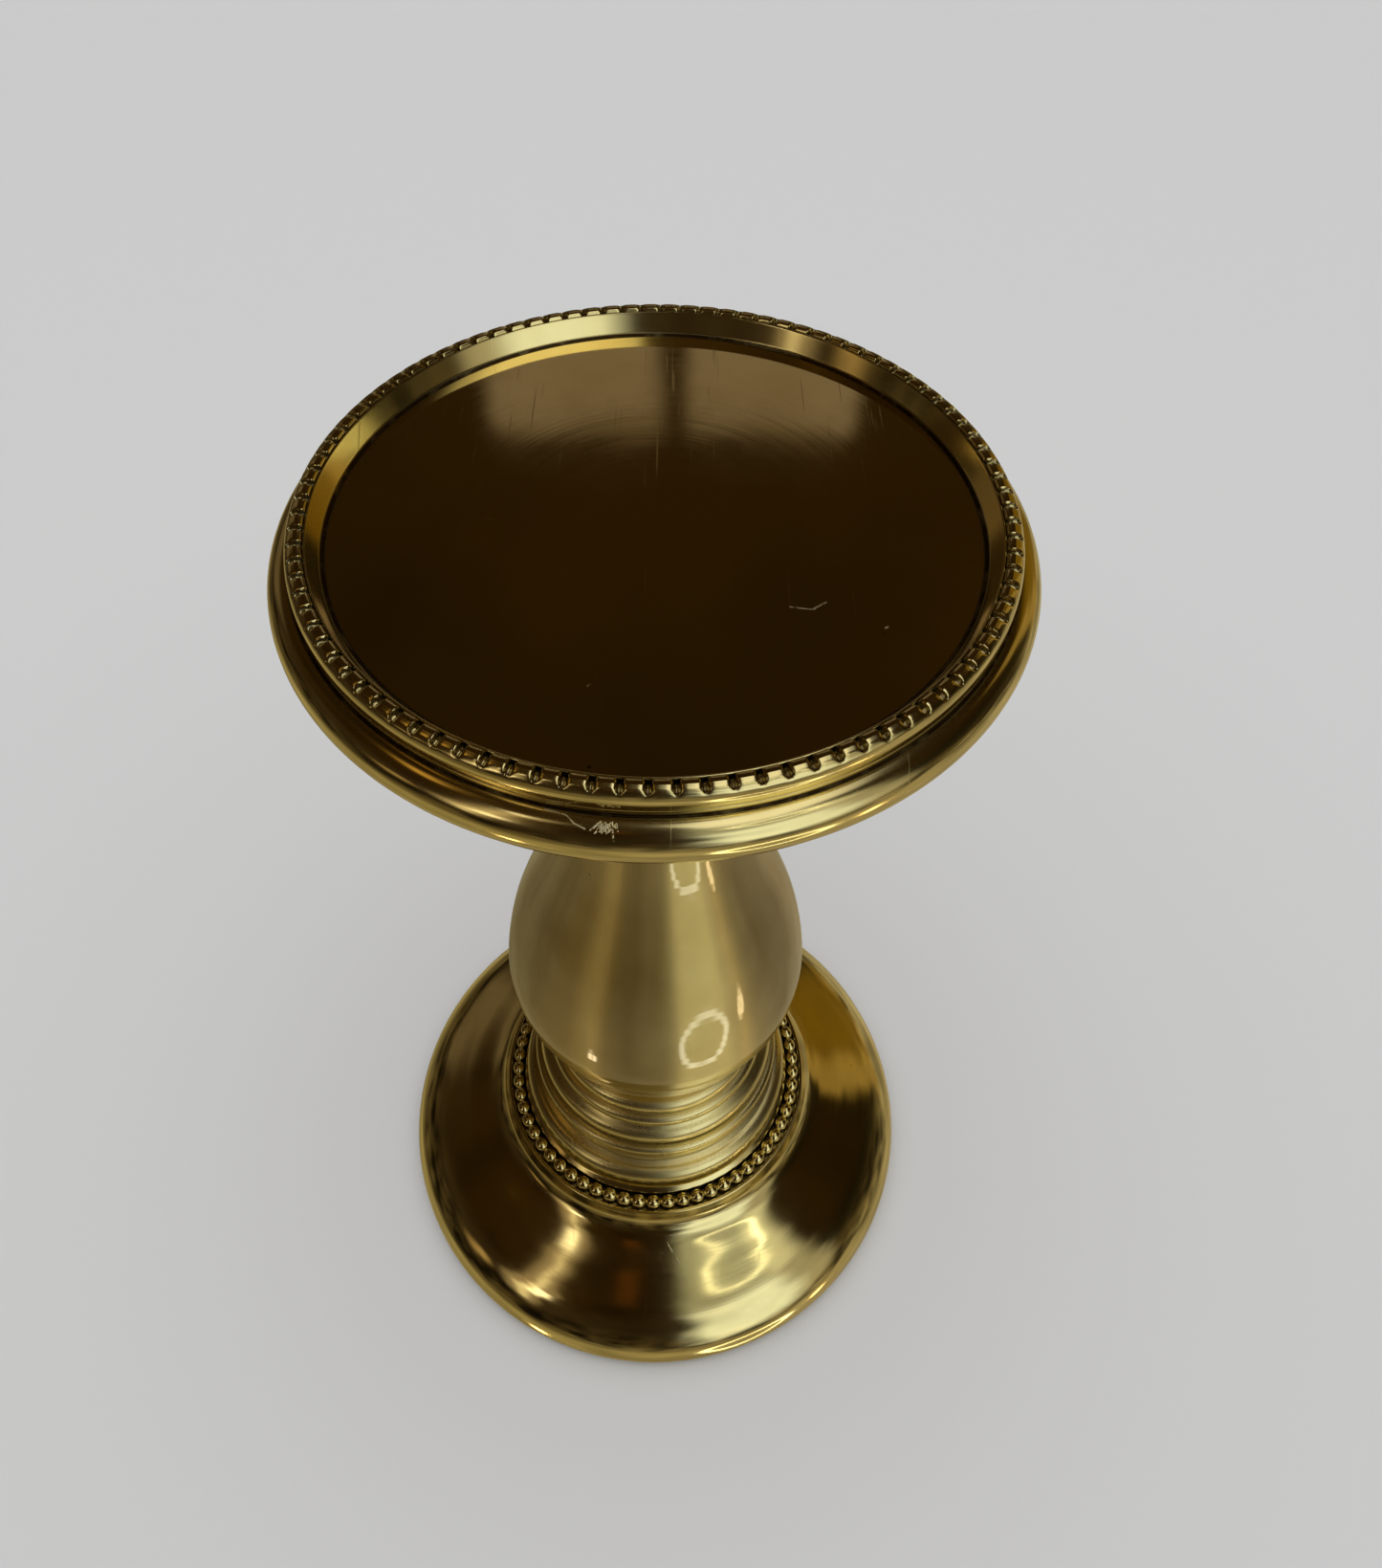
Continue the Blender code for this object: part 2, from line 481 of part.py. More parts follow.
def lock_washer_outline():
    bottom = LOCK_WASHER_TOP - LOCK_WASHER_THICKNESS
    outside = BORE_RADIUS + LOCK_WASHER_WIDTH
    return [
        (outside, LOCK_WASHER_TOP),
        (outside, bottom),
        (BORE_RADIUS, bottom),
        (BORE_RADIUS, LOCK_WASHER_TOP),
    ]


def nut_section(angle):
    """The nut's section at an angle: a hexagon outside, chamfered, and the bore inside."""
    sixth = math.radians(60)
    from_flat = (angle + sixth / 2) % sixth - sixth / 2
    flat = ROD_RADIUS + NUT_WALL
    outside = flat / math.cos(from_flat)
    face = flat - NUT_FACE_INSET
    bottom = NUT_TOP - NUT_THICKNESS
    return [
        (face, NUT_TOP),
        (outside, NUT_TOP - NUT_CHAMFER),
        (outside, bottom + NUT_CHAMFER),
        (face, bottom),
        (BORE_RADIUS, bottom),
        (BORE_RADIUS, NUT_TOP),
    ]


# Solids --------------------------------------------------------------------------------

def material(name, colour, roughness, metallic):
    finish = bpy.data.materials.new(name)
    finish.use_nodes = True
    shader = finish.node_tree.nodes["Principled BSDF"]
    shader.inputs["Base Color"].default_value = (*colour, 1.0)
    shader.inputs["Roughness"].default_value = roughness
    shader.inputs["Metallic"].default_value = metallic
    return finish


def add_object(name, mesh, finish, parent):
    mesh.materials.append(finish)
    piece = bpy.data.objects.new(name, mesh)
    piece.parent = parent
    bpy.context.scene.collection.objects.link(piece)
    return piece


def turned(name, outline, steps, finish, parent):
    """A solid of revolution. The outline runs down the outside and, unless it starts and
    ends on the axis, back up the inside to where it began."""
    mesh = bpy.data.meshes.new(name)
    count = len(outline)
    edges = [(index, index + 1) for index in range(count - 1)]
    if outline[0][0] > 0.0:
        edges.append((count - 1, 0))
    mesh.from_pydata([(radius, 0.0, height) for radius, height in outline], edges, [])
    piece = add_object(name, mesh, finish, parent)
    screw = piece.modifiers.new("turn", "SCREW")
    screw.axis = "Z"
    screw.angle = math.tau
    screw.steps = steps
    screw.render_steps = steps
    screw.use_merge_vertices = True
    screw.merge_threshold = 0.00001
    screw.use_smooth_shade = True
    return piece


def lofted(name, sections, finish, parent, start=0.0, sweep=math.tau):
    """A ring whose section changes round the axis. A sweep under a full turn gets end caps."""
    closed = sweep >= math.tau
    gaps = len(sections) if closed else len(sections) - 1
    shape = bmesh.new()
    loops = []
    for index, section in enumerate(sections):
        angle = start + sweep * index / gaps
        loops.append([shape.verts.new((radius * math.cos(angle), radius * math.sin(angle), height))
                      for radius, height in section])
    for index in range(gaps):
        here = loops[index]
        there = loops[(index + 1) % len(loops)]
        for corner in range(len(here)):
            after = (corner + 1) % len(here)
            shape.faces.new((here[corner], here[after], there[after], there[corner]))
    if not closed:
        shape.faces.new(loops[0])
        shape.faces.new(loops[-1])
    bmesh.ops.recalc_face_normals(shape, faces=shape.faces)
    mesh = bpy.data.meshes.new(name)
    shape.to_mesh(mesh)
    shape.free()
    return add_object(name, mesh, finish, parent)


def bead_border(name, radius, pitch, section, groove, finish, parent):
    """Crests and cuts by turns, as many beads as the pitch allows round the ring."""
    beads = round(math.tau * radius / pitch)
    sections = [section(depth) for _ in range(beads) for depth in (0.0, groove)]
    return lofted(name, sections, finish, parent)


def clear_scene():
    for item in list(bpy.data.objects):
        bpy.data.objects.remove(item, do_unlink=True)


def build():
    clear_scene()
    holder = bpy.data.objects.new("candle_holder", None)
    bpy.context.scene.collection.objects.link(holder)
    polished = (0.72, 0.55, 0.22)
    satin = (0.66, 0.53, 0.27)
    steel = (0.52, 0.51, 0.49)

    turned("candle_pan", candle_pan_outline(), WIDE_STEPS,
           material("candle_pan_brass", polished, 0.12, 1.0), holder)
    bead_border("pan_bead_border", PAN_BEAD_RADIUS, PAN_BEAD_PITCH, pan_bead_section,
                PAN_BEAD_GROOVE, material("pan_bead_border_brass", polished, 0.18, 1.0), holder)
    turned("pan_support", pan_support_outline(), STEM_STEPS,
           material("pan_support_brass", polished, 0.15, 1.0), holder)
    turned("stem_top_collar", stem_top_collar_outline(), STEM_STEPS,
           material("stem_top_collar_brass", polished, 0.15, 1.0), holder)
    turned("vase", vase_outline(), STEM_STEPS,
           material("vase_brass", satin, 0.3, 1.0), holder)
    turned("neck_ring_upper", ring_upper_outline(), STEM_STEPS,
           material("neck_ring_upper_brass", polished, 0.15, 1.0), holder)
    turned("neck_ring_middle", ring_middle_outline(), STEM_STEPS,
           material("neck_ring_middle_brass", polished, 0.15, 1.0), holder)
    turned("neck_collar", neck_collar_outline(), STEM_STEPS,
           material("neck_collar_brass", polished, 0.12, 1.0), holder)
    bead_border("foot_bead_border", FOOT_BEAD_RING_RADIUS, FOOT_BEAD_PITCH, foot_bead_section,
                FOOT_BEAD_NECK * FOOT_BEAD_SIZE,
                material("foot_bead_border_brass", polished, 0.18, 1.0), holder)
    turned("foot", foot_outline(), WIDE_STEPS,
           material("foot_brass", polished, 0.1, 1.0), holder)
    turned("felt_ring", felt_outline(), WIDE_STEPS,
           material("felt_ring_felt", (0.04, 0.12, 0.06), 0.95, 0.0), holder)
    turned("tie_rod", tie_rod_outline(), SMALL_STEPS,
           material("tie_rod_steel", steel, 0.35, 1.0), holder)
    turned("base_washer", base_washer_outline(), SMALL_STEPS,
           material("base_washer_steel", steel, 0.4, 1.0), holder)
    split = math.radians(LOCK_WASHER_SPLIT)
    lofted("lock_washer", [lock_washer_outline()] * SMALL_STEPS,
           material("lock_washer_steel", steel, 0.4, 1.0), holder, split / 2, math.tau - split)
    lofted("tie_nut", [nut_section(math.tau * step / SMALL_STEPS) for step in range(SMALL_STEPS)],
           material("tie_nut_steel", steel, 0.35, 1.0), holder)


build()
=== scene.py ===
"""Looks of the pillar candle holder: smooth turned brass, cut and pearled borders, steel
fittings and felt, in a plain studio. Lengths are in metres unless a name ends in _MM."""

import math

import bmesh
import bpy
from mathutils import Matrix, Vector


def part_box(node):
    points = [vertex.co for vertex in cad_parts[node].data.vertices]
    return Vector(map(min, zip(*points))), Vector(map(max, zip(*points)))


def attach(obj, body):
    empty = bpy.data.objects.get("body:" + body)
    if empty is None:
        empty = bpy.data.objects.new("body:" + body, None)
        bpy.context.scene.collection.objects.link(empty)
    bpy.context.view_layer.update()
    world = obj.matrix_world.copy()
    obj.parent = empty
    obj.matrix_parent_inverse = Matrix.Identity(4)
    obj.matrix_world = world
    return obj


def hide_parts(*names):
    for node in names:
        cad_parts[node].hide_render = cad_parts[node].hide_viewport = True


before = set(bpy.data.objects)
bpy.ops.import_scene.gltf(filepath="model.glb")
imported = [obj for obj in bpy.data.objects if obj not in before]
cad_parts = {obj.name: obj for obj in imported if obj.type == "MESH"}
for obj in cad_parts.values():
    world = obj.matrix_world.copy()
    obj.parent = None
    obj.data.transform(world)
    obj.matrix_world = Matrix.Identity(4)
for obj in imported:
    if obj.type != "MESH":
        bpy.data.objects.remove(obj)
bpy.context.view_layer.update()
MM = 0.001
BODY = "root"


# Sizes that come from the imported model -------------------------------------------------

def top_of(node):
    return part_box(node)[1].z


def bottom_of(node):
    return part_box(node)[0].z


def radius_of(node):
    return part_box(node)[1].x


FOOT_RADIUS = radius_of("foot")
FOOT_TOP = top_of("foot")
FOOT_BOTTOM = bottom_of("foot")
FELT_TOP = top_of("felt_ring")
FELT_RADIUS = radius_of("felt_ring")
COLLAR_TOP = bottom_of("neck_ring_middle")
RING_MIDDLE_TOP = bottom_of("neck_ring_upper")
RING_UPPER_TOP = bottom_of("vase")
COLLAR_RADIUS = radius_of("neck_collar")
RING_MIDDLE_RADIUS = radius_of("neck_ring_middle")
RING_UPPER_RADIUS = radius_of("neck_ring_upper")
VASE_RADIUS = radius_of("vase")
VASE_TOP = bottom_of("stem_top_collar")
TOP_COLLAR_RADIUS = radius_of("stem_top_collar")
SUPPORT_BOTTOM = bottom_of("pan_support")
SUPPORT_TOP = top_of("pan_support")
SUPPORT_RADIUS = radius_of("pan_support")
PAN_RADIUS = radius_of("candle_pan")
PAN_RIM_TOP = top_of("candle_pan")
PAN_BEAD_TOP = top_of("pan_bead_border")
PAN_BEAD_RADIUS = radius_of("pan_bead_border")
FOOT_BEAD_TOP = top_of("foot_bead_border")
FOOT_BEAD_RADIUS = radius_of("foot_bead_border")
ROD_RADIUS = radius_of("tie_rod")
ROD_TOP = top_of("tie_rod")
ROD_BOTTOM = bottom_of("tie_rod")
WASHER_RADIUS = radius_of("base_washer")
LOCK_WASHER_RADIUS = radius_of("lock_washer")

# Sizes of the fine work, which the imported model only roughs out.
PAN_DEPTH = 2.9 * MM
PAN_FLOOR = PAN_RIM_TOP - PAN_DEPTH
PAN_FLOOR_RADIUS = 39.8 * MM
PAN_RIM_RADIUS = 41.7 * MM
PAN_ROLL_SIZE = 2.9 * MM
PAN_ROLL_DROP = 3.3 * MM
PAN_LEDGE_DROP = 2.4 * MM      # rim to the ledge that the bead border stands on
PAN_BEADS = 96
FOOT_BEADS = 62
FOOT_BEAD_SIZE = 2.1 * MM
PEARL_HALF = 0.56 * FOOT_BEAD_SIZE     # a pearl's radius, a little fuller than its node
PACKED_GAP = 0.3 * MM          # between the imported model's pieces
SHOW_GAP = 0.05 * MM           # what is left of it here
BORE_RADIUS = ROD_RADIUS + 0.3 * MM
STEM_BORE = 12.3 * MM          # the wide bore through the mouldings, and the vase's foot
STEM_REGISTER = 7.0 * MM       # the small step that centres the vase, collar and support
TURN_STEPS = 256
PAN_TURN_STEPS = 384
WASHER_TURN_STEPS = 128
CREASE_ANGLE = math.radians(40)


# Outlines ------------------------------------------------------------------------------

def arc(centre_r, centre_z, radius, start, stop, steps):
    """Points on a circle in the half plane, from start to stop degrees (0 is outwards)."""
    points = []
    for step in range(steps + 1):
        angle = math.radians(start + (stop - start) * step / steps)
        points.append((centre_r + radius * math.cos(angle), centre_z + radius * math.sin(angle)))
    return points


def smooth_through(points, steps):
    """A Catmull-Rom curve through the points, with this many pieces between each two."""
    ends = [points[0]] + list(points) + [points[-1]]
    curve = []
    for before, start, stop, after in zip(ends, ends[1:], ends[2:], ends[3:]):
        for step in range(steps):
            t = step / steps
            curve.append(tuple(
                0.5 * (2 * b + (c - a) * t + (2 * a - 5 * b + 4 * c - d) * t ** 2
                       + (3 * b - a - 3 * c + d) * t ** 3)
                for a, b, c, d in zip(before, start, stop, after)))
    return curve + [points[-1]]


def inside_wall(outline, wall):
    """The outline moved towards the axis side by the wall, each point along its normal."""
    ends = [outline[0]] + list(outline) + [outline[-1]]
    moved = []
    for before, here, after in zip(ends, ends[1:], ends[2:]):
        run = after[0] - before[0]
        fall = after[1] - before[1]
        length = math.hypot(run, fall)
        moved.append((here[0] + wall * fall / length, here[1] - wall * run / length))
    return moved


def corner(before, here, after, fillet, steps=5):
    """A corner rounded to the fillet radius, or as much of it as its sides allow."""
    into = Vector(before) - Vector(here)
    out = Vector(after) - Vector(here)
    reach = 0.45 * min(into.length, out.length)
    half = into.angle(out) / 2
    size = min(fillet, reach * math.tan(half))
    back = size / math.tan(half)
    first = Vector(here) + into.normalized() * back
    last = Vector(here) + out.normalized() * back
    centre = Vector(here) + (into.normalized() + out.normalized()).normalized() * (size / math.sin(half))
    arms = (first - centre, last - centre)
    sweep = arms[0].angle(arms[1])
    points = []
    for step in range(steps + 1):
        t = step / steps
        arm = (arms[0] * math.sin((1 - t) * sweep) + arms[1] * math.sin(t * sweep)) / math.sin(sweep)
        points.append(tuple(centre + arm))
    return points


def eased(outline, fillet, closed=True):
    """The outline with every clear corner rounded and long sides split near their ends."""
    count = len(outline)
    rounded = []
    for index, here in enumerate(outline):
        if not closed and index in (0, count - 1):
            rounded.append(tuple(here))
            continue
        before = outline[index - 1]
        after = outline[(index + 1) % count]
        turn = (Vector(before) - Vector(here)).angle(Vector(after) - Vector(here))
        if turn > math.radians(160):
            rounded.append(tuple(here))
        else:
            rounded.extend(corner(before, here, after, fillet))
    return split_long(rounded, closed)


def split_long(outline, closed, hold=0.12 * MM, stride=1.5 * MM):
    """Extra points just inside the ends of long sides, so that shading stays flat there."""
    result = []
    count = len(outline)
    for index in range(count if closed else count - 1):
        here = Vector(outline[index])
        after = Vector(outline[(index + 1) % count])
        side = after - here
        result.append(tuple(here))
        if side.length > 4 * hold:
            result.append(tuple(here + side.normalized() * hold))
            pieces = max(1, int((side.length - 2 * hold) / stride))
            for piece in range(1, pieces):
                result.append(tuple(here + side * (piece / pieces)))
            result.append(tuple(after - side.normalized() * hold))
    if not closed:
        result.append(tuple(outline[-1]))
    return result


# Meshes --------------------------------------------------------------------------------

def finish_piece(name, shape, finish, node):
    """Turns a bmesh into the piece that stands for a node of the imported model."""
    bmesh.ops.recalc_face_normals(shape, faces=shape.faces)
    mesh = bpy.data.meshes.new(name)
    shape.to_mesh(mesh)
    shape.free()
    mesh.shade_smooth()
    mesh.set_sharp_from_angle(angle=CREASE_ANGLE)
    mesh.materials.append(finish)
    piece = bpy.data.objects.new(name, mesh)
    bpy.context.scene.collection.objects.link(piece)
    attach(piece, BODY)
    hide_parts(node)
    return piece


def loft(sections, start=0.0, sweep=math.tau, angles=None, capped=False):
    """A bmesh ring through sections set round the Z axis, the first at the start angle."""
    shape = bmesh.new()
    count = len(sections)
    closed = sweep >= math.tau and not capped
    loops = []
    for index, section in enumerate(sections):
        share = index / (count if closed else count - 1)
        angle = angles[index] if angles else start + sweep * share
        loops.append([shape.verts.new((radius * math.cos(angle), radius * math.sin(angle), height))
                      for radius, height in section])
    for index in range(count if closed else count - 1):
        here = loops[index]
        there = loops[(index + 1) % count]
        for side in range(len(here)):
            after = (side + 1) % len(here)
            shape.faces.new((here[side], here[after], there[after], there[side]))
    if not closed:
        shape.faces.new(loops[0])
        shape.faces.new(loops[-1])
    return shape


def turn(outline, steps=TURN_STEPS):
    """A bmesh solid of revolution. An outline that starts and ends on the axis closes there."""
    if outline[0][0] > 1e-7:
        return loft([outline] * steps)
    return loft_on_axis([outline] * steps)


def loft_on_axis(sections):
    """A bmesh through sections set round the Z axis, each from the axis back to the axis."""
    shape = bmesh.new()
    count = len(sections)
    loops = []
    for step, section in enumerate(sections):
        angle = math.tau * step / count
        loops.append([shape.verts.new((radius * math.cos(angle), radius * math.sin(angle), height))
                      for radius, height in section[1:-1]])
    first = shape.verts.new((0.0, 0.0, sections[0][0][1]))
    last = shape.verts.new((0.0, 0.0, sections[0][-1][1]))
    for step in range(count):
        here = loops[step]
        there = loops[(step + 1) % count]
        shape.faces.new((first, here[0], there[0]))
        shape.faces.new((last, there[-1], here[-1]))
        for side in range(len(here) - 1):
            shape.faces.new((here[side], here[side + 1], there[side + 1], there[side]))
    return shape


# Materials -----------------------------------------------------------------------------

class Nodes:
    """The node tree of a material or a world, with short calls to add and join its nodes."""

    def __init__(self, owner):
        self.owner = owner
        owner.use_nodes = True
        self.tree = owner.node_tree
        self.shader = self.tree.nodes.get("Principled BSDF")

    def add(self, kind, inputs=None, **settings):
        node = self.tree.nodes.new(kind)
        for key, value in settings.items():
            setattr(node, key, value)
        for key, value in (inputs or {}).items():
            self.plug(value, node.inputs[key])
        return node

    def plug(self, value, socket):
        if isinstance(value, bpy.types.NodeSocket):
            self.tree.links.new(value, socket)
        else:
            socket.default_value = value

    def math(self, operation, first, second=0.0, third=0.0, clamp=False):
        node = self.add("ShaderNodeMath", {0: first, 1: second, 2: third},
                        operation=operation, use_clamp=clamp)
        return node.outputs["Value"]

    def position(self):
        return self.add("ShaderNodeTexCoord").outputs["Object"]

    def turned_position(self, along):
        """Position on a turned piece as (radius, height, angle round it times along)."""
        parts = self.add("ShaderNodeSeparateXYZ", {0: self.position()}).outputs
        angle = self.math("ARCTAN2", parts["Y"], parts["X"])
        square = self.math("MULTIPLY", parts["X"], parts["X"])
        radius = self.math("SQRT", self.math("MULTIPLY_ADD", parts["Y"], parts["Y"], square))
        way_round = self.math("MULTIPLY", angle, along)
        return self.add("ShaderNodeCombineXYZ", {0: radius, 1: parts["Z"], 2: way_round}).outputs[0]

    def noise(self, vector, scale, detail=2.0, roughness=0.5):
        node = self.add("ShaderNodeTexNoise",
                        {"Vector": vector, "Scale": scale, "Detail": detail, "Roughness": roughness})
        return node.outputs["Fac"]

    def ramp(self, value, low, high, start=0.0, stop=1.0, kind="LINEAR"):
        node = self.add("ShaderNodeMapRange", {"Value": value, "From Min": low, "From Max": high,
                                               "To Min": start, "To Max": stop}, interpolation_type=kind)
        return node.outputs["Result"]

    def band(self, value, low, high, soft):
        """1 between two values and 0 outside, with soft ends."""
        rise = self.ramp(value, low - soft, low + soft, kind="SMOOTHSTEP")
        fall = self.ramp(value, high + soft, high - soft, kind="SMOOTHSTEP")
        return self.math("MULTIPLY", rise, fall)

    def scaled(self, colour, share):
        node = self.add("ShaderNodeVectorMath", {0: colour}, operation="SCALE")
        self.plug(share, node.inputs["Scale"])
        return node.outputs["Vector"]

    def plus(self, first, second):
        node = self.add("ShaderNodeVectorMath", {0: first, 1: second}, operation="ADD")
        return node.outputs["Vector"]

    def mix(self, share, first, second):
        node = self.add("ShaderNodeMix", data_type="RGBA")
        self.plug(share, node.inputs["Factor"])
        self.plug(first, node.inputs["A"])
        self.plug(second, node.inputs["B"])
        return node.outputs["Result"]

    def bump(self, height, distance, strength=1.0, normal=None):
        inputs = {"Height": height, "Distance": distance, "Strength": strength}
        if normal is not None:
            inputs["Normal"] = normal
        return self.add("ShaderNodeBump", inputs).outputs["Normal"]

    def scratches(self, turn_angle, scale, width, amount):
        """Thin straight marks in one direction: 1 on a mark, 0 off it."""
        turned = self.add("ShaderNodeMapping", {"Vector": self.position()})
        turned.inputs["Rotation"].default_value = (0.35 * turn_angle, 0.7 * turn_angle, turn_angle)
        turned.inputs["Scale"].default_value = (scale / width, scale, scale)
        streaks = self.noise(turned.outputs["Vector"], 1.0, detail=1.0)
        return self.ramp(streaks, 1.0 - amount, 1.0 - 0.6 * amount)

    def mark(self, start, stop, width):
        """One scratch between two points: 1 on its middle line, 0 beyond its width."""
        first = Vector(start)
        run = Vector(stop) - first
        offset = self.add("ShaderNodeVectorMath", {0: self.position(), 1: first}, operation="SUBTRACT")
        along = self.add("ShaderNodeVectorMath", {0: offset.outputs["Vector"], 1: run / run.length_squared},
                         operation="DOT_PRODUCT")
        share = self.math("ADD", along.outputs["Value"], 0.0, clamp=True)
        nearest = self.scaled(run, share)
        gap = self.add("ShaderNodeVectorMath", {0: offset.outputs["Vector"], 1: nearest},
                       operation="DISTANCE")
        return self.ramp(gap.outputs["Value"], width, 0.4 * width)


BRASS = (0.90, 0.77, 0.38, 1.0)
BRASS_DEEP = (0.70, 0.53, 0.19, 1.0)
# A near-black brown: painted shade in the crevices and corners, and tarnish in the tiny pits.
BRASS_SHADE_AND_TARNISH = (0.05, 0.028, 0.010, 1.0)
BRASS_BARE = (0.95, 0.88, 0.66, 1.0)       # in a scratch
LACQUER_TINT = (1.0, 0.93, 0.72, 1.0)
QUARTER_TURN = 0.25                        # of the anisotropy, so that it blurs up and down


def brass(name, roughness=0.1, blotch=0.05, lines=1.0, waves=1.0, brushed=0.0, mirror=0.0,
          shade_openness=(0.55, 0.2), grooves=(), marks=()):
    """Polished brass: cloudy wear in the gloss, lathe lines, faint waves, marks and painted
    shade darkening the crevices. Grooves are rings of painted shade, each (radius, height,
    reach). Brushed gives the upright glow of a finely brushed surface under clear lacquer.
    Mirror is the radius that a smoother middle reaches out to, and the openness pair the
    occlusion at which the painted shade starts and is full."""
    nodes = Nodes(bpy.data.materials.new(name))
    shader = nodes.shader
    shader.inputs["Metallic"].default_value = 1.0
    turned = nodes.turned_position(0.0008)
    cloud = nodes.noise(nodes.position(), 70.0, 4.0, 0.6)
    smudge = nodes.noise(nodes.position(), 260.0, 3.0, 0.65)
    fine_lines = nodes.noise(turned, 2600.0, 3.0, 0.7)
    broad_lines = nodes.noise(turned, 420.0, 2.0, 0.6)

    # Painted shade: corners and grooves are darkened towards a near-black brown.
    shade_share = painted_crevice_shade(nodes, smudge, shade_openness, grooves)
    depth = nodes.ramp(cloud, 0.35, 0.75, 0.0, 0.45)
    colour = nodes.mix(shade_share, nodes.mix(depth, BRASS, BRASS_DEEP), BRASS_SHADE_AND_TARNISH)
    colour = nodes.mix(nodes.math("MULTIPLY", small_pits(nodes), 0.85), colour, BRASS_SHADE_AND_TARNISH)
    directions = ((0.4, 55.0), (1.9, 70.0), (2.7, 62.0))
    scuffs = highest(nodes, [nodes.scratches(turn, scale, 0.02, 0.27) for turn, scale in directions])

    gloss = nodes.ramp(cloud, 0.3, 0.7, roughness - 0.3 * blotch, roughness + 0.7 * blotch)
    gloss = nodes.math("MULTIPLY_ADD", nodes.math("SUBTRACT", smudge, 0.5), blotch, gloss)
    gloss = nodes.math("MULTIPLY_ADD", nodes.math("SUBTRACT", fine_lines, 0.5), 0.08 * lines, gloss)
    if mirror:
        radius = nodes.add("ShaderNodeSeparateXYZ", {0: turned}).outputs["X"]
        gloss = nodes.math("ADD", gloss, nodes.ramp(radius, mirror, mirror + 0.5 * MM, -0.07, 0.0))
    gloss = nodes.math("MULTIPLY_ADD", shade_share, 0.3, gloss)
    gloss = nodes.math("MULTIPLY_ADD", scuffs, 0.12, gloss)

    normal = nodes.bump(nodes.noise(nodes.position(), 42.0, 1.0), 0.16 * MM * waves, 0.5)
    normal = nodes.bump(broad_lines, 0.010 * MM * lines, 0.6, normal)
    normal = nodes.bump(fine_lines, 0.003 * MM * lines, 0.6, normal)
    normal = nodes.bump(scuffs, 0.002 * MM, 0.8, normal)

    if marks:
        broken = nodes.ramp(nodes.noise(nodes.position(), 2400.0, 2.0), 0.35, 0.55)
        dented = highest(nodes, [nodes.mark(start, stop, width) for start, stop, width in marks])
        dented = nodes.math("MULTIPLY", dented, broken)
        colour = nodes.mix(dented, colour, BRASS_BARE)
        gloss = nodes.math("MULTIPLY_ADD", dented, 0.42, gloss)
        normal = nodes.bump(dented, 0.03 * MM, 0.9, normal)

    nodes.plug(colour, shader.inputs["Base Color"])
    nodes.plug(nodes.math("MAXIMUM", gloss, 0.03), shader.inputs["Roughness"])
    nodes.plug(normal, shader.inputs["Normal"])
    if brushed:
        shader.inputs["Anisotropic"].default_value = brushed
        shader.inputs["Anisotropic Rotation"].default_value = QUARTER_TURN
        shader.inputs["Coat Weight"].default_value = 1.0
        shader.inputs["Coat IOR"].default_value = 1.9
        shader.inputs["Coat Roughness"].default_value = 0.05
        shader.inputs["Coat Tint"].default_value = LACQUER_TINT
        tangent = nodes.add("ShaderNodeTangent", direction_type="RADIAL", axis="Z")
        nodes.plug(tangent.outputs["Tangent"], shader.inputs["Tangent"])
    return nodes.owner


def highest(nodes, layers):
    """The highest of several values at each point."""
    result = layers[0]
    for layer in layers[1:]:
        result = nodes.math("MAXIMUM", result, layer)
    return result


def painted_crevice_shade(nodes, smudge, shade_openness, grooves):
    """How far painted shade darkens each point: in corners found by ambient occlusion, and along the named
    grooves, made uneven by smudges.
    """
    corners = nodes.add("ShaderNodeAmbientOcclusion", {"Distance": 2.0 * MM}, samples=6)
    layers = [nodes.ramp(corners.outputs["AO"], *shade_openness, 0.0, 0.85)]
    flat_place = nodes.turned_position(0.0)
    for radius, height, reach in grooves:
        across = nodes.add("ShaderNodeVectorMath", {0: flat_place, 1: (radius, height, 0.0)},
                           operation="DISTANCE")
        layers.append(nodes.ramp(across.outputs["Value"], reach, 0.55 * reach))
    patchy = nodes.ramp(smudge, 0.25, 0.5, 0.75, 1.0)
    return nodes.math("MULTIPLY", highest(nodes, layers), patchy, clamp=True)


def small_pits(nodes):
    """1 in a few tiny pits here and there."""
    pits = nodes.add("ShaderNodeTexVoronoi", {"Vector": nodes.position(), "Scale": 210.0})
    where = nodes.ramp(nodes.noise(nodes.position(), 90.0, 0.0), 0.63, 0.66)
    return nodes.math("MULTIPLY", nodes.ramp(pits.outputs["Distance"], 0.06, 0.03), where)


STEEL = (0.55, 0.54, 0.51)
SPRING_STEEL = (0.34, 0.33, 0.31)


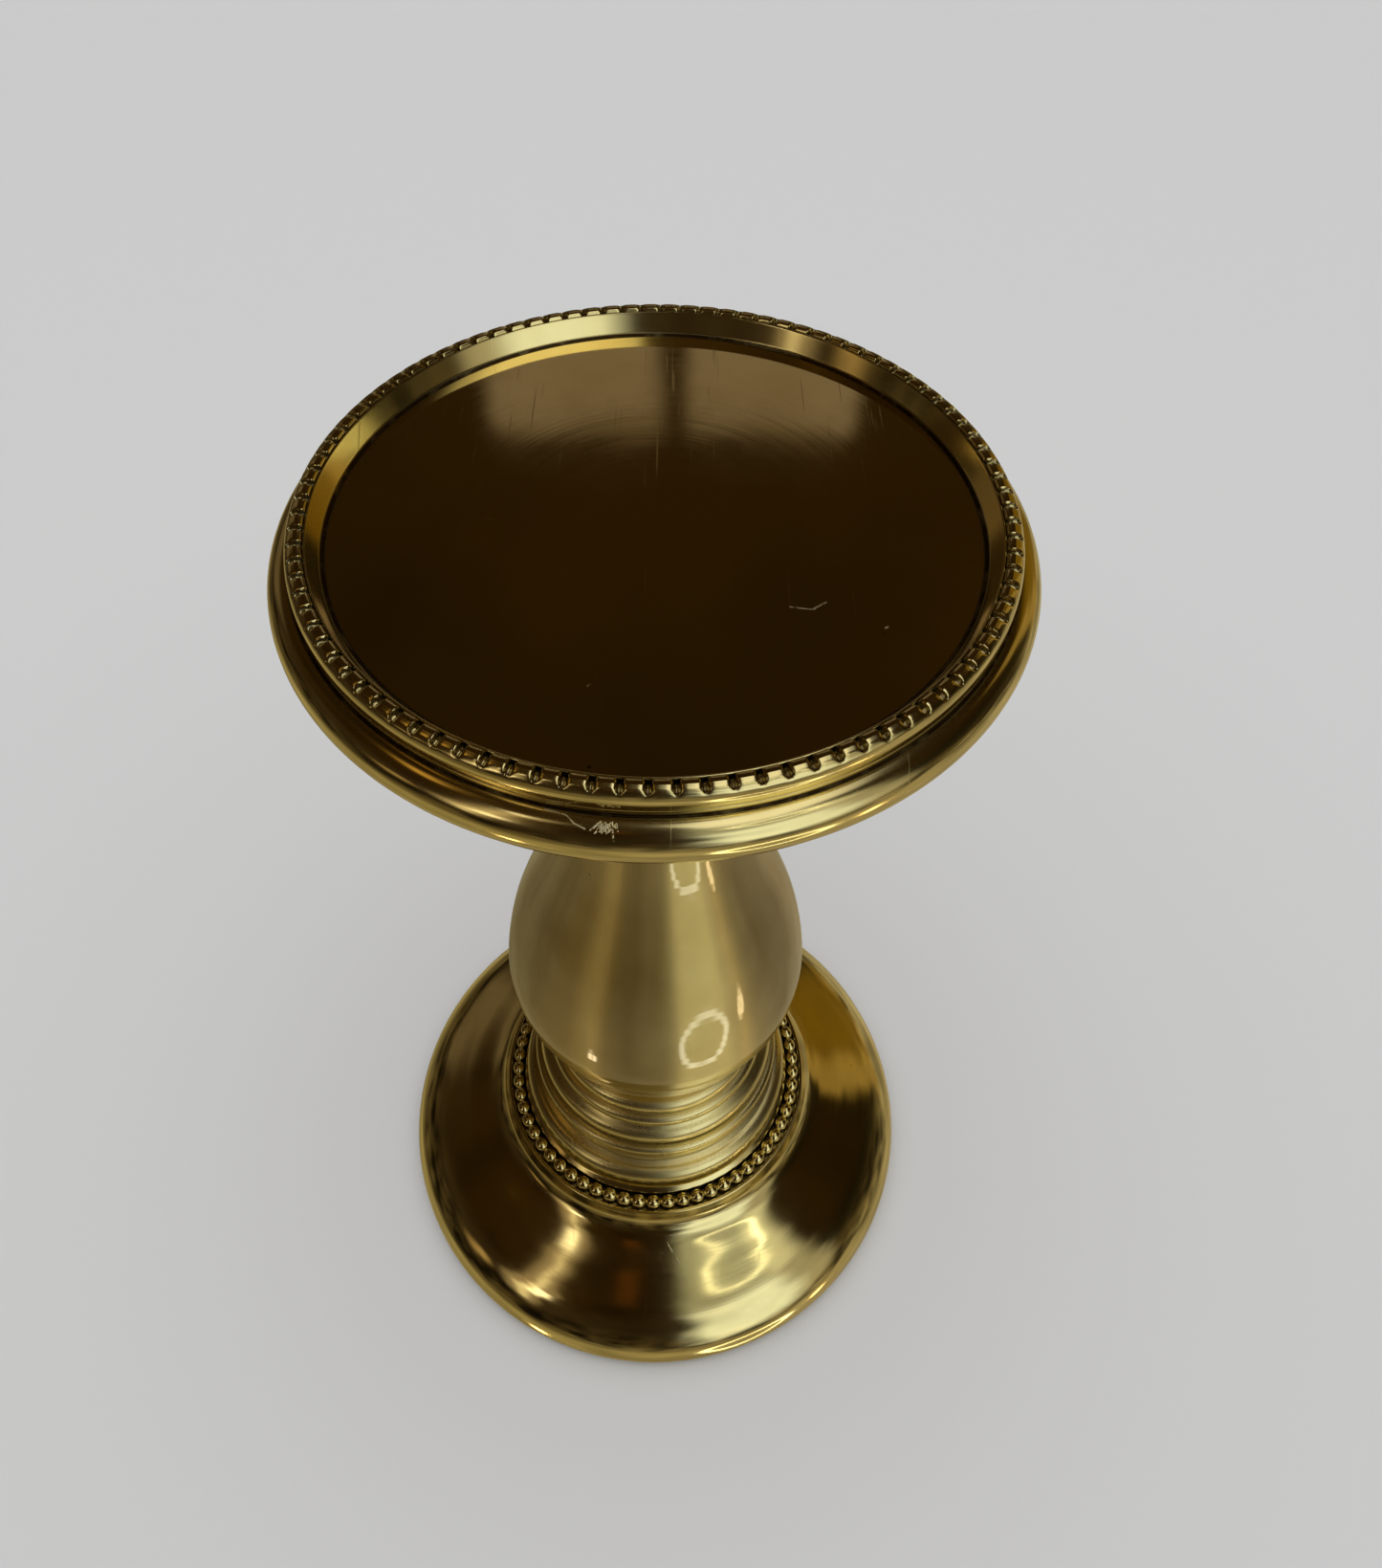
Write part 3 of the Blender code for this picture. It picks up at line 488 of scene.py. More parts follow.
def steel(name, colour=STEEL, roughness=0.34):
    """Zinc-plated steel: fine mottled crystals, faint turning lines, dull spots."""
    nodes = Nodes(bpy.data.materials.new(name))
    shader = nodes.shader
    shader.inputs["Metallic"].default_value = 1.0
    grain = nodes.add("ShaderNodeTexVoronoi", {"Vector": nodes.position(), "Scale": 900.0})
    cloud = nodes.noise(nodes.position(), 240.0, 4.0, 0.6)
    lines = nodes.noise(nodes.turned_position(0.004), 2200.0, 2.0)
    tint = nodes.mix(nodes.ramp(cloud, 0.35, 0.7), (*colour, 1.0), (0.38, 0.36, 0.31, 1.0))
    fleck = nodes.ramp(grain.outputs["Distance"], 0.1, 0.7, 0.0, 0.35)
    nodes.plug(nodes.mix(fleck, tint, (0.7, 0.69, 0.68, 1.0)), shader.inputs["Base Color"])
    nodes.plug(nodes.ramp(cloud, 0.3, 0.7, roughness - 0.08, roughness + 0.14), shader.inputs["Roughness"])
    normal = nodes.bump(lines, 0.01 * MM, 0.5)
    nodes.plug(nodes.bump(cloud, 0.02 * MM, 0.4, normal), shader.inputs["Normal"])
    return nodes.owner


def felt(name):
    """Dark green pressed wool: matted short fibres, lint and a soft sheen."""
    nodes = Nodes(bpy.data.materials.new(name))
    shader = nodes.shader
    fibre = nodes.noise(nodes.position(), 3200.0, 4.0, 0.75)
    mat = nodes.noise(nodes.position(), 520.0, 3.0, 0.6)
    tint = nodes.mix(nodes.ramp(mat, 0.3, 0.7), (0.018, 0.075, 0.036, 1.0), (0.045, 0.14, 0.07, 1.0))
    lint = nodes.ramp(fibre, 0.62, 0.8, 0.0, 0.5)
    nodes.plug(nodes.mix(lint, tint, (0.16, 0.26, 0.18, 1.0)), shader.inputs["Base Color"])
    nodes.plug(nodes.ramp(fibre, 0.2, 0.8, 0.85, 1.0), shader.inputs["Roughness"])
    shader.inputs["Sheen Weight"].default_value = 0.4
    shader.inputs["Sheen Roughness"].default_value = 0.5
    normal = nodes.bump(mat, 0.2 * MM, 0.6)
    nodes.plug(nodes.bump(fibre, 0.12 * MM, 0.8, normal), shader.inputs["Normal"])
    return nodes.owner


# Pieces --------------------------------------------------------------------------------

# Light marks on the front of the foot: where each starts and ends, and how wide it is to each
# side, in millimetres.
FOOT_MARKS_MM = (
    ((2.6, -32.0, 15.2), (3.6, -33.4, 14.6), 0.10),
    ((4.3, -34.4, 14.1), (4.9, -35.2, 13.7), 0.12),
    ((1.2, -33.8, 14.4), (1.9, -33.6, 14.5), 0.08),
)


def in_metres(marks):
    return [(Vector(start) * MM, Vector(stop) * MM, width * MM) for start, stop, width in marks]


def foot_side():
    """The outside of the foot from the small lip by the beads down to its widest edge."""
    lip = FOOT_BEAD_RADIUS + 1.05 * MM
    lip_top = FOOT_TOP - 1.8 * MM
    knee = (FOOT_RADIUS - 4.9 * MM, FOOT_BOTTOM + 9.2 * MM)
    slope_start = (lip + 3.0 * MM, lip_top - 4.8 * MM)
    slope_middle = ((slope_start[0] + knee[0]) / 2, (slope_start[1] + knee[1]) / 2 + 0.2 * MM)
    return smooth_through([
        (lip, lip_top - 0.5 * MM), (lip + 0.9 * MM, lip_top - 2.9 * MM), slope_start, slope_middle,
        knee, (FOOT_RADIUS - 1.2 * MM, knee[1] - 3.6 * MM),
        (FOOT_RADIUS - 0.05 * MM, FOOT_BOTTOM + 2.5 * MM),
        (FOOT_RADIUS - 0.3 * MM, FOOT_BOTTOM + 0.9 * MM)], 12)


def make_foot():
    """The hollow foot: hub and bead channel on top, felt shelf and inside wall below."""
    side = foot_side()
    lip = side[0][0]
    lip_top = side[0][1] + 0.5 * MM
    channel_outer = FOOT_BEAD_RADIUS + 0.3 * MM
    channel_inner = FOOT_BEAD_RADIUS - FOOT_BEAD_SIZE - 0.25 * MM
    channel_floor = FOOT_BEAD_TOP - 2 * PEARL_HALF - SHOW_GAP
    channel_bevel = 0.7 * MM
    register_depth = 2.0 * MM
    hub_ceiling = FOOT_TOP - 5.4 * MM
    wall = 2.6 * MM
    slope = side[28:60]            # from under the lip to past the knee
    under = inside_wall(slope, wall)[::4]
    shelf = FELT_RADIUS - 4.5 * MM
    seat = FELT_TOP + 0.02 * MM
    outline = [
        (STEM_BORE, FOOT_TOP),
        (channel_inner - channel_bevel, FOOT_TOP),
        (channel_inner, FOOT_TOP - channel_bevel),
        (channel_inner, channel_floor),
        (channel_outer, channel_floor),
        (channel_outer, lip_top),
        (lip - 0.1 * MM, lip_top),
        *side,
        (FOOT_RADIUS - 0.9 * MM, FOOT_BOTTOM),
        (FELT_RADIUS + 0.3 * MM, FOOT_BOTTOM),
        (FELT_RADIUS + 0.3 * MM, seat),
        (shelf, seat),
        (shelf, seat + wall),
        *reversed(under),
        (channel_inner, hub_ceiling),
        (BORE_RADIUS, hub_ceiling),
        (BORE_RADIUS, FOOT_TOP - register_depth),
        (STEM_BORE, FOOT_TOP - register_depth),
    ]
    finish = brass("foot_brass", 0.09, marks=in_metres(FOOT_MARKS_MM))
    finish_piece("foot_turned", turn(eased(outline, 0.2 * MM)), finish, "foot")


def make_felt():
    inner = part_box("felt_ring")[1].x - 4.2 * MM
    outline = [(FELT_RADIUS, FELT_TOP), (FELT_RADIUS, 0.0), (inner, 0.0), (inner, FELT_TOP)]
    finish_piece("felt_pad_ring", turn(eased(outline, 0.3 * MM)), felt("felt_wool"),
                 "felt_ring")


def make_neck_collar():
    roll_size = 2.0 * MM
    roll_r = COLLAR_RADIUS - roll_size
    roll_z = FOOT_TOP + 2 * PACKED_GAP + roll_size
    flange = COLLAR_RADIUS - 2.1 * MM
    hollow = COLLAR_RADIUS - 3.4 * MM
    top = COLLAR_TOP - PACKED_GAP
    hub = 12.0 * MM
    hub_top = top_of("neck_collar")
    spigot = bottom_of("neck_collar")
    outline = [
        (flange - 1.3 * MM, top),
        *arc(flange - 0.9 * MM, top - 0.9 * MM, 0.9 * MM, 80, 0, 6),
        (flange, top - 1.5 * MM),
        *arc(hollow + 2.6 * MM, top - 4.2 * MM, 2.6 * MM, 130, 215, 14),
        *arc(roll_r, roll_z, roll_size, 92, -70, 20),
        (roll_r + 0.5 * MM, FOOT_TOP + SHOW_GAP),
        (hub, FOOT_TOP + SHOW_GAP),
        (hub, spigot),
        (BORE_RADIUS, spigot),
        (BORE_RADIUS, hub_top),
        (hub, hub_top),
        (hub, top),
    ]
    finish = brass("neck_collar_brass", 0.27, lines=0.0, waves=0.3)
    finish_piece("neck_collar_turned", turn(eased(outline, 0.12 * MM)), finish,
                 "neck_collar")


def make_ring_middle():
    size = 2.0 * MM
    centre_r = RING_MIDDLE_RADIUS - size
    seat = COLLAR_TOP - PACKED_GAP + SHOW_GAP
    centre_z = COLLAR_TOP + 0.75 * size
    top = RING_MIDDLE_TOP - PACKED_GAP
    fillet = centre_r + 0.1 * MM
    outline = [
        (RING_UPPER_RADIUS - 1.0 * MM, top),
        *arc(fillet - 1.1 * MM, top - 1.3 * MM, 1.1 * MM, 75, 0, 8),
        (fillet, top - 1.9 * MM),
        *arc(centre_r, centre_z, size, 72, -45, 16),
        (centre_r + 1.0 * MM, seat),
        (STEM_BORE, seat),
        (STEM_BORE, top),
    ]
    finish = brass("neck_ring_middle_brass", 0.27, lines=0.0, waves=0.3)
    finish_piece("neck_ring_middle_turned", turn(eased(outline, 0.1 * MM)), finish,
                 "neck_ring_middle")


def make_ring_upper():
    size = 1.6 * MM
    centre_r = RING_UPPER_RADIUS - size
    seat = RING_MIDDLE_TOP - PACKED_GAP + SHOW_GAP
    top = RING_UPPER_TOP - PACKED_GAP
    outline = [
        (centre_r - 1.2 * MM, top),
        *arc(centre_r, (seat + top) / 2, size, 85, -85, 18),
        (centre_r - 0.6 * MM, seat),
        (STEM_BORE, seat),
        (STEM_BORE, top),
    ]
    finish = brass("neck_ring_upper_brass", 0.27, lines=0.0, waves=0.3)
    finish_piece("neck_ring_upper_turned", turn(eased(outline, 0.1 * MM)), finish,
                 "neck_ring_upper")


def vase_side():
    """The pear: foot to belly on a quarter curve, then the long taper to the neck."""
    seat = RING_UPPER_TOP
    top = VASE_TOP - PACKED_GAP
    belly_height = 21.7 * MM
    foot = 14.8 * MM
    neck = 11.4 * MM
    belly = seat + belly_height
    lower = VASE_RADIUS - foot
    upper = VASE_RADIUS - neck
    rise = top - belly
    return smooth_through([
        (neck + 0.4 * MM, top - 0.6 * MM),
        (neck, top - 0.06 * rise),
        (neck + 0.08 * upper, belly + 0.80 * rise),
        (neck + 0.22 * upper, belly + 0.62 * rise),
        (neck + 0.46 * upper, belly + 0.45 * rise),
        (neck + 0.735 * upper, belly + 0.293 * rise),
        (neck + 0.92 * upper, belly + 0.15 * rise),
        (VASE_RADIUS, belly),
        (foot + 0.84 * lower, belly - 0.34 * belly_height),
        (foot + 0.56 * lower, belly - 0.66 * belly_height),
        (foot + 0.24 * lower, belly - 0.89 * belly_height),
        (foot, seat - PACKED_GAP + SHOW_GAP)], 7)


def make_vase():
    side = vase_side()
    wall = 2.4 * MM
    top = side[0][1] + 0.6 * MM
    neck_floor = top - 4.0 * MM
    sill = side[-1][1] + 2.3 * MM
    inside = [point for point in inside_wall(side, wall) if sill + wall < point[1] < neck_floor]
    outline = [
        (STEM_REGISTER, top),
        (side[0][0] - 0.4 * MM, top),
        *side,
        (STEM_BORE, side[-1][1]),
        (STEM_BORE, sill),
        *reversed(inside[::4]),
        (BORE_RADIUS, neck_floor),
        (BORE_RADIUS, top_of("vase")),
        (STEM_REGISTER, top_of("vase")),
    ]
    finish = brass("vase_brass", 0.44, lines=0.0, waves=0.3, brushed=1.0)
    finish_piece("vase_turned", turn(eased(outline, 0.15 * MM)), finish, "vase")


def make_top_collar():
    size = 2.6 * MM
    centre_r = TOP_COLLAR_RADIUS - size
    seat = VASE_TOP - PACKED_GAP + SHOW_GAP
    top = SUPPORT_BOTTOM - PACKED_GAP
    recess = VASE_TOP + 2.0 * MM
    hub_top = top_of("stem_top_collar")
    outline = [
        (STEM_REGISTER, top),
        (centre_r, top),
        *arc(centre_r, (seat + top) / 2, size, 72, -72, 18),
        (centre_r, seat),
        (STEM_REGISTER + PACKED_GAP, seat),
        (STEM_REGISTER + PACKED_GAP, recess),
        (BORE_RADIUS, recess),
        (BORE_RADIUS, hub_top),
        (STEM_REGISTER, hub_top),
    ]
    finish_piece("stem_top_collar_turned", turn(eased(outline, 0.1 * MM)), brass("stem_top_collar_brass"),
                 "stem_top_collar")


def make_support():
    waist = 9.8 * MM
    base = 12.0 * MM
    height = SUPPORT_TOP - SUPPORT_BOTTOM
    flare = SUPPORT_RADIUS - waist
    seat = SUPPORT_BOTTOM - PACKED_GAP + SHOW_GAP
    top = SUPPORT_TOP + PACKED_GAP - SHOW_GAP
    trumpet = smooth_through([
        (SUPPORT_RADIUS - 0.5 * MM, SUPPORT_TOP - 2.2 * MM),
        (waist + 0.62 * flare, SUPPORT_TOP - 0.20 * height),
        (waist + 0.28 * flare, SUPPORT_TOP - 0.42 * height),
        (waist + 0.06 * flare, SUPPORT_TOP - 0.66 * height),
        (waist, SUPPORT_TOP - 0.84 * height)], 10)
    boss_hole = 8.3 * MM
    boss_floor = SUPPORT_TOP - 9.0 * MM
    register = STEM_REGISTER + PACKED_GAP
    recess = SUPPORT_BOTTOM + 2.0 * MM
    outline = [
        (SUPPORT_RADIUS, top),
        (SUPPORT_RADIUS, SUPPORT_TOP - 1.6 * MM),
        *trumpet,
        (base, SUPPORT_BOTTOM + 2.2 * MM),
        (base, seat),
        (register, seat),
        (register, recess),
        (BORE_RADIUS, recess),
        (BORE_RADIUS, boss_floor),
        (boss_hole, boss_floor),
        (boss_hole, top),
    ]
    finish_piece("pan_support_turned", turn(eased(outline, 0.25 * MM)), brass("pan_support_brass"),
                 "pan_support")


# A bent scratch and two specks on the pan's floor, as FOOT_MARKS_MM.
PAN_FLOOR_MM = PAN_FLOOR / MM
PAN_FLOOR_MARKS_MM = (
    ((15.6, -14.6, PAN_FLOOR_MM), (18.2, -15.0, PAN_FLOOR_MM), 0.10),
    ((18.2, -15.0, PAN_FLOOR_MM), (19.8, -13.8, PAN_FLOOR_MM), 0.14),
    ((-6.9, -27.0, PAN_FLOOR_MM), (-6.6, -26.9, PAN_FLOOR_MM), 0.14),
    ((26.2, -17.8, PAN_FLOOR_MM), (26.5, -17.6, PAN_FLOOR_MM), 0.14),
)


def roll_marks(roll_r, roll_z):
    """Scratches on the front of the rolled edge: a bent line, a scribbled spot and a tick.
    Their places are degrees round from the front and degrees over the roll."""
    def place(turned, over):
        radius = roll_r + PAN_ROLL_SIZE * math.cos(math.radians(over))
        height = roll_z + PAN_ROLL_SIZE * math.sin(math.radians(over))
        angle = math.radians(turned - 90)
        return Vector((radius * math.cos(angle), radius * math.sin(angle), height))

    bend = [(-13.5, 84), (-10.6, 80), (-9.4, 66), (-7.9, 57)]
    tick = [(-4.3, 50), (-4.2, 38)]
    strokes = [*zip(bend, bend[1:]), tuple(tick)]
    scribbles = 9
    scribble_start = -7.2
    scribble_reach = 2.6
    for scribble in range(scribbles):
        foot = scribble_start + scribble_reach * scribble / scribbles
        head = foot + 0.9
        lift = 5 * math.sin(2.4 * scribble)
        strokes.append(((foot, 56 + lift), (head, 72 + lift)))
        strokes.append(((head, 72 + lift), (foot + 1.1, 60 - lift)))
    half_width = 0.09 * MM
    return [(place(*start), place(*stop), half_width) for start, stop in strokes]


def make_pan():
    """The pan: flat floor, flared wall and thin rim, then the ledge, the rolled edge and a
    boss for the rod underneath."""
    roll_r = PAN_RADIUS - PAN_ROLL_SIZE
    roll_z = PAN_FLOOR - PAN_ROLL_DROP
    underside = SUPPORT_TOP + PACKED_GAP
    ledge = PAN_RIM_TOP - PAN_LEDGE_DROP
    boss = 8.0 * MM
    boss_end = bottom_of("candle_pan")
    bore_end = ROD_TOP + 0.6 * MM
    wall_foot = PAN_BEAD_RADIUS - 0.15 * MM
    meeting = math.acos((wall_foot - roll_r) / PAN_ROLL_SIZE)
    roll = arc(roll_r, roll_z, PAN_ROLL_SIZE, math.degrees(meeting), -150, 48)
    outline = [
        (0.0, PAN_FLOOR),
        (PAN_FLOOR_RADIUS, PAN_FLOOR),
        (PAN_FLOOR_RADIUS + 0.5 * MM, PAN_FLOOR + 0.4 * MM),
        (PAN_RIM_RADIUS - 0.25 * MM, PAN_RIM_TOP),
        (PAN_RIM_RADIUS, PAN_RIM_TOP),
        (PAN_RIM_RADIUS, ledge),
        (wall_foot, ledge),
        *roll,
        (roll_r - 1.3 * PAN_ROLL_SIZE, underside),
        (boss, underside),
        (boss, boss_end),
        (BORE_RADIUS, boss_end),
        (BORE_RADIUS, bore_end),
        (0.0, bore_end),
    ]
    # Rings of painted shade: in the crevice under the bead border and round the edge of the floor.
    crevice = (wall_foot, roll[0][1], 0.4 * MM)
    floor_edge = (PAN_FLOOR_RADIUS + 0.2 * MM, PAN_FLOOR, 0.5 * MM)
    marks = (*roll_marks(roll_r, roll_z), *in_metres(PAN_FLOOR_MARKS_MM))
    finish = brass("pan_brass", 0.125, 0.04, lines=0.6, mirror=PAN_FLOOR_RADIUS,
                   grooves=(crevice, floor_edge), marks=marks)
    finish_piece("candle_pan_spun", turn(eased(outline, 0.15 * MM, closed=False), PAN_TURN_STEPS), finish,
                 "candle_pan")


def soft_min(a, b, blend):
    """The smaller of two lengths, with the crease between them rounded over the blend."""
    share = max(blend - abs(a - b), 0.0) / blend
    return min(a, b) - share * share * blend / 4


def soft_max(a, b, blend):
    return -soft_min(-a, -b, blend)


def make_pan_beads():
    """A lip of flat-topped blocks with a light inner bevel. The cuts between the blocks run
    out from the inner edge as round-ended scoops, narrow inside and wider near the rim."""
    inner = PAN_RIM_RADIUS + SHOW_GAP
    base = PAN_RIM_TOP - PAN_LEDGE_DROP + SHOW_GAP
    top = PAN_BEAD_TOP
    crown = smooth_through([
        (inner, top - 0.55 * MM), (inner + 0.12 * MM, top - 0.24 * MM),
        (inner + 0.36 * MM, top - 0.05 * MM), (inner + 0.9 * MM, top - 0.01 * MM),
        (PAN_BEAD_RADIUS - 1.2 * MM, top - 0.03 * MM), (PAN_BEAD_RADIUS - 0.66 * MM, top - 0.24 * MM),
        (PAN_BEAD_RADIUS - 0.24 * MM, top - 0.66 * MM), (PAN_BEAD_RADIUS - 0.01 * MM, top - 1.3 * MM)], 4)
    skirt = [(PAN_BEAD_RADIUS, top - 1.9 * MM), (PAN_BEAD_RADIUS - 0.12 * MM, base), (inner, base)]
    pitch = math.tau / PAN_BEADS
    # Sections stand closest at the scoop's edges, in millimetres from its middle line.
    offsets_mm = [0.0, 0.14, 0.27, 0.36, 0.43, 0.49, 0.55, 0.64, 0.8, 1.1]
    offsets = sorted({side * offset * MM for offset in offsets_mm for side in (-1, 1)})
    sections = []
    angles = []
    for bead in range(PAN_BEADS):
        for offset in offsets:
            section = [(radius, height - scoop_depth(radius - inner, offset)) for radius, height in crown]
            sections.append(section + skirt)
            angles.append(bead * pitch + offset / PAN_BEAD_RADIUS)
    # Painted shade starts sooner here, darkening the scoops between the blocks.
    finish = brass("pan_bead_brass", 0.14, lines=0.0, waves=0.3, shade_openness=(0.72, 0.42))
    finish_piece("pan_bead_border_cut", loft(sections, angles=angles), finish,
                 "pan_bead_border")


def scoop_depth(out, offset):
    """How deep the scoop between two blocks is, at a distance out from the inner edge and a
    distance along from the scoop's middle line. Its lips are rounded."""
    length = 1.85 * MM
    full_depth = 0.85 * MM
    lip_size = 0.10 * MM
    lip_spread = 0.3
    share = min(max(out / length, 0.0), 1.0)
    half_width = (0.38 + 0.12 * share) * MM
    beyond = max(out - length + half_width, 0.0)
    reach = math.hypot(offset, beyond) / half_width
    lip = lip_size * math.exp(-abs(reach - 1.0) / lip_spread)
    if reach >= 1.0:
        return lip
    return lip + full_depth * (1.0 - 0.3 * share) * math.sqrt(1.0 - reach * reach)


def make_foot_beads():
    """Round pearls joined by thin necks, in their channel."""
    ring = FOOT_BEAD_RADIUS - FOOT_BEAD_SIZE / 2
    centre_z = FOOT_BEAD_TOP - PEARL_HALF
    pitch = math.tau / FOOT_BEADS
    reach = pitch * ring / 2
    stations = 16
    stretch = 0.84
    neck = 0.36 * PEARL_HALF
    sections = []
    for _ in range(FOOT_BEADS):
        for station in range(stations):
            along = (2 * station / stations - 1) * reach
            ball = math.sqrt(max(PEARL_HALF ** 2 - (along * stretch) ** 2, 0.0))
            size = soft_max(ball, neck, 0.1 * MM)
            sections.append(arc(ring, centre_z, size, 90, -255, 23))
    finish = brass("foot_bead_brass", 0.1, lines=0.0, waves=0.3)
    finish_piece("foot_bead_border_pearls", loft(sections), finish, "foot_bead_border")


def make_rod():
    """The tie rod, with a screw thread on both ends."""
    pitch = 1.25 * MM
    depth = 0.6 * MM
    threaded = 22.0 * MM
    chamfer = 0.6 * MM
    stride = pitch / 8
    steps = 48
    rows = int(threaded / stride)
    lower = [ROD_BOTTOM + stride * row for row in range(rows)]
    upper = [ROD_TOP - stride * row for row in reversed(range(rows))]
    sections = []
    for step in range(steps):
        share = step / steps
        section = [(0.0, ROD_BOTTOM)]
        for height in lower + upper:
            from_end = min(height - ROD_BOTTOM, ROD_TOP - height)
            ridge = abs(2 * (((height - ROD_BOTTOM) / pitch - share) % 1.0) - 1)
            fade = min(1.0, (threaded - from_end) / (2 * pitch))
            limit = ROD_RADIUS - max(0.0, chamfer - from_end)
            section.append((min(ROD_RADIUS - depth * ridge * fade, limit), height))
        section.append((0.0, ROD_TOP))
        sections.append(section)
    finish_piece("tie_rod_threaded", loft_on_axis(sections), steel("tie_rod_steel"), "tie_rod")


def make_base_washer():
    top = top_of("base_washer")
    bottom = bottom_of("base_washer")
    outline = [(WASHER_RADIUS, top), (WASHER_RADIUS, bottom), (BORE_RADIUS, bottom), (BORE_RADIUS, top)]
    finish = steel("base_washer_steel", roughness=0.4)
    finish_piece("base_washer_stamped", turn(eased(outline, 0.35 * MM), WASHER_TURN_STEPS), finish,
                 "base_washer")


def make_lock_washer():
    """A spring washer: a ring of square section with a split."""
    top = top_of("lock_washer")
    bottom = bottom_of("lock_washer")
    split = math.radians(8)
    outline = eased([(LOCK_WASHER_RADIUS, top), (LOCK_WASHER_RADIUS, bottom),
                     (BORE_RADIUS, bottom), (BORE_RADIUS, top)], 0.12 * MM)
    shape = loft([outline] * 97, split / 2, math.tau - split, capped=True)
    finish_piece("lock_washer_split", shape, steel("lock_washer_steel", SPRING_STEEL, 0.42),
                 "lock_washer")


def make_nut():
    """A hexagon nut with turned chamfers on both faces."""
    top = top_of("tie_nut")
    bottom = bottom_of("tie_nut")
    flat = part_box("tie_nut")[1].x
    face = flat - 0.2 * MM
    lead = 0.4 * MM
    slope = math.tan(math.radians(30))
    sixth = math.radians(60)
    steps = 144
    sections = []
    for step in range(steps):
        from_flat = (math.tau * step / steps + sixth / 2) % sixth - sixth / 2
        outside = flat / math.cos(from_flat)
        drop = (outside - face) * slope
        sections.append([(BORE_RADIUS, top - lead), (BORE_RADIUS + lead, top), (face, top),
                         (outside, top - drop), (outside, bottom + drop), (face, bottom),
                         (BORE_RADIUS + lead, bottom), (BORE_RADIUS, bottom + lead)])
    finish_piece("tie_nut_hexagon", loft(sections), steel("tie_nut_steel"), "tie_nut")


for make in (make_rod, make_base_washer, make_lock_washer, make_nut, make_felt, make_foot, make_foot_beads,
             make_neck_collar, make_ring_middle, make_ring_upper, make_vase, make_top_collar,
             make_support, make_pan, make_pan_beads):
    make()


# Stage ---------------------------------------------------------------------------------

PALE_GREY = 0.604              # the linear value of a pale grey studio sheet
FLOOR_WHITE = 0.8
FLOOR_RADIUS = 6.0
BACKDROP_RADIUS = 5.5
CAMERA_TILT = 45.21            # degrees below level
CAMERA_ROLL = 0.66
CAMERA_PLACE_MM = (2.07, -122.96, 270.54)


def emission(name, colour, strength):
    finish = bpy.data.materials.new(name)
    finish.use_nodes = True
    tree = finish.node_tree
    tree.nodes.clear()
    glow = tree.nodes.new("ShaderNodeEmission")
    glow.inputs["Color"].default_value = (*colour, 1.0)
    glow.inputs["Strength"].default_value = strength
    output = tree.nodes.new("ShaderNodeOutputMaterial")
    tree.links.new(glow.outputs["Emission"], output.inputs["Surface"])
    return finish


def make_floor():
    shape = bmesh.new()
    bmesh.ops.create_circle(shape, cap_ends=True, segments=96, radius=FLOOR_RADIUS)
    mesh = bpy.data.meshes.new("floor")
    shape.to_mesh(mesh)
    shape.free()
    finish = bpy.data.materials.new("floor_paint")
    finish.use_nodes = True
    shader = finish.node_tree.nodes["Principled BSDF"]
    shader.inputs["Base Color"].default_value = (FLOOR_WHITE, FLOOR_WHITE, FLOOR_WHITE, 1.0)
    shader.inputs["Roughness"].default_value = 0.9
    mesh.materials.append(finish)
    floor = bpy.data.objects.new("floor", mesh)
    floor.visible_glossy = False
    bpy.context.scene.collection.objects.link(floor)


def make_backdrop():
    """A pale dome behind everything, which only the camera sees."""
    shape = bmesh.new()
    bmesh.ops.create_uvsphere(shape, u_segments=48, v_segments=24, radius=BACKDROP_RADIUS)
    mesh = bpy.data.meshes.new("backdrop")
    shape.to_mesh(mesh)
    shape.free()
    mesh.materials.append(emission("backdrop_paint", (PALE_GREY, PALE_GREY, PALE_GREY), 1.0))
    backdrop = bpy.data.objects.new("backdrop", mesh)
    backdrop.visible_glossy = False
    backdrop.visible_diffuse = False
    backdrop.visible_shadow = False
    bpy.context.scene.collection.objects.link(backdrop)


def make_camera():
    """The angle of the photograph: from the front, well above, looking steeply down."""
    camera = bpy.data.cameras.new("camera")
    camera.sensor_width = 36.0
    camera.lens = 30.77
    camera.shift_x = 0.0125
    camera.shift_y = -0.1095
    camera.clip_start = 0.01
    eye = bpy.data.objects.new("camera", camera)
    pitch = Matrix.Rotation(math.radians(90 - CAMERA_TILT), 4, "X")
    roll = Matrix.Rotation(math.radians(CAMERA_ROLL), 4, "Z")
    eye.matrix_world = Matrix.Translation(Vector(CAMERA_PLACE_MM) * MM) @ pitch @ roll
    bpy.context.scene.collection.objects.link(eye)
    bpy.context.scene.camera = eye


def make_overhead():
    """Even, nearly shadowless light on the floor, which the brass doesn't mirror."""
    data = bpy.data.lights.new("overhead", "SUN")
    data.energy = math.pi * PALE_GREY / FLOOR_WHITE
    data.angle = math.radians(100)
    light = bpy.data.objects.new("overhead", data)
    light.visible_glossy = False
    bpy.context.scene.collection.objects.link(light)


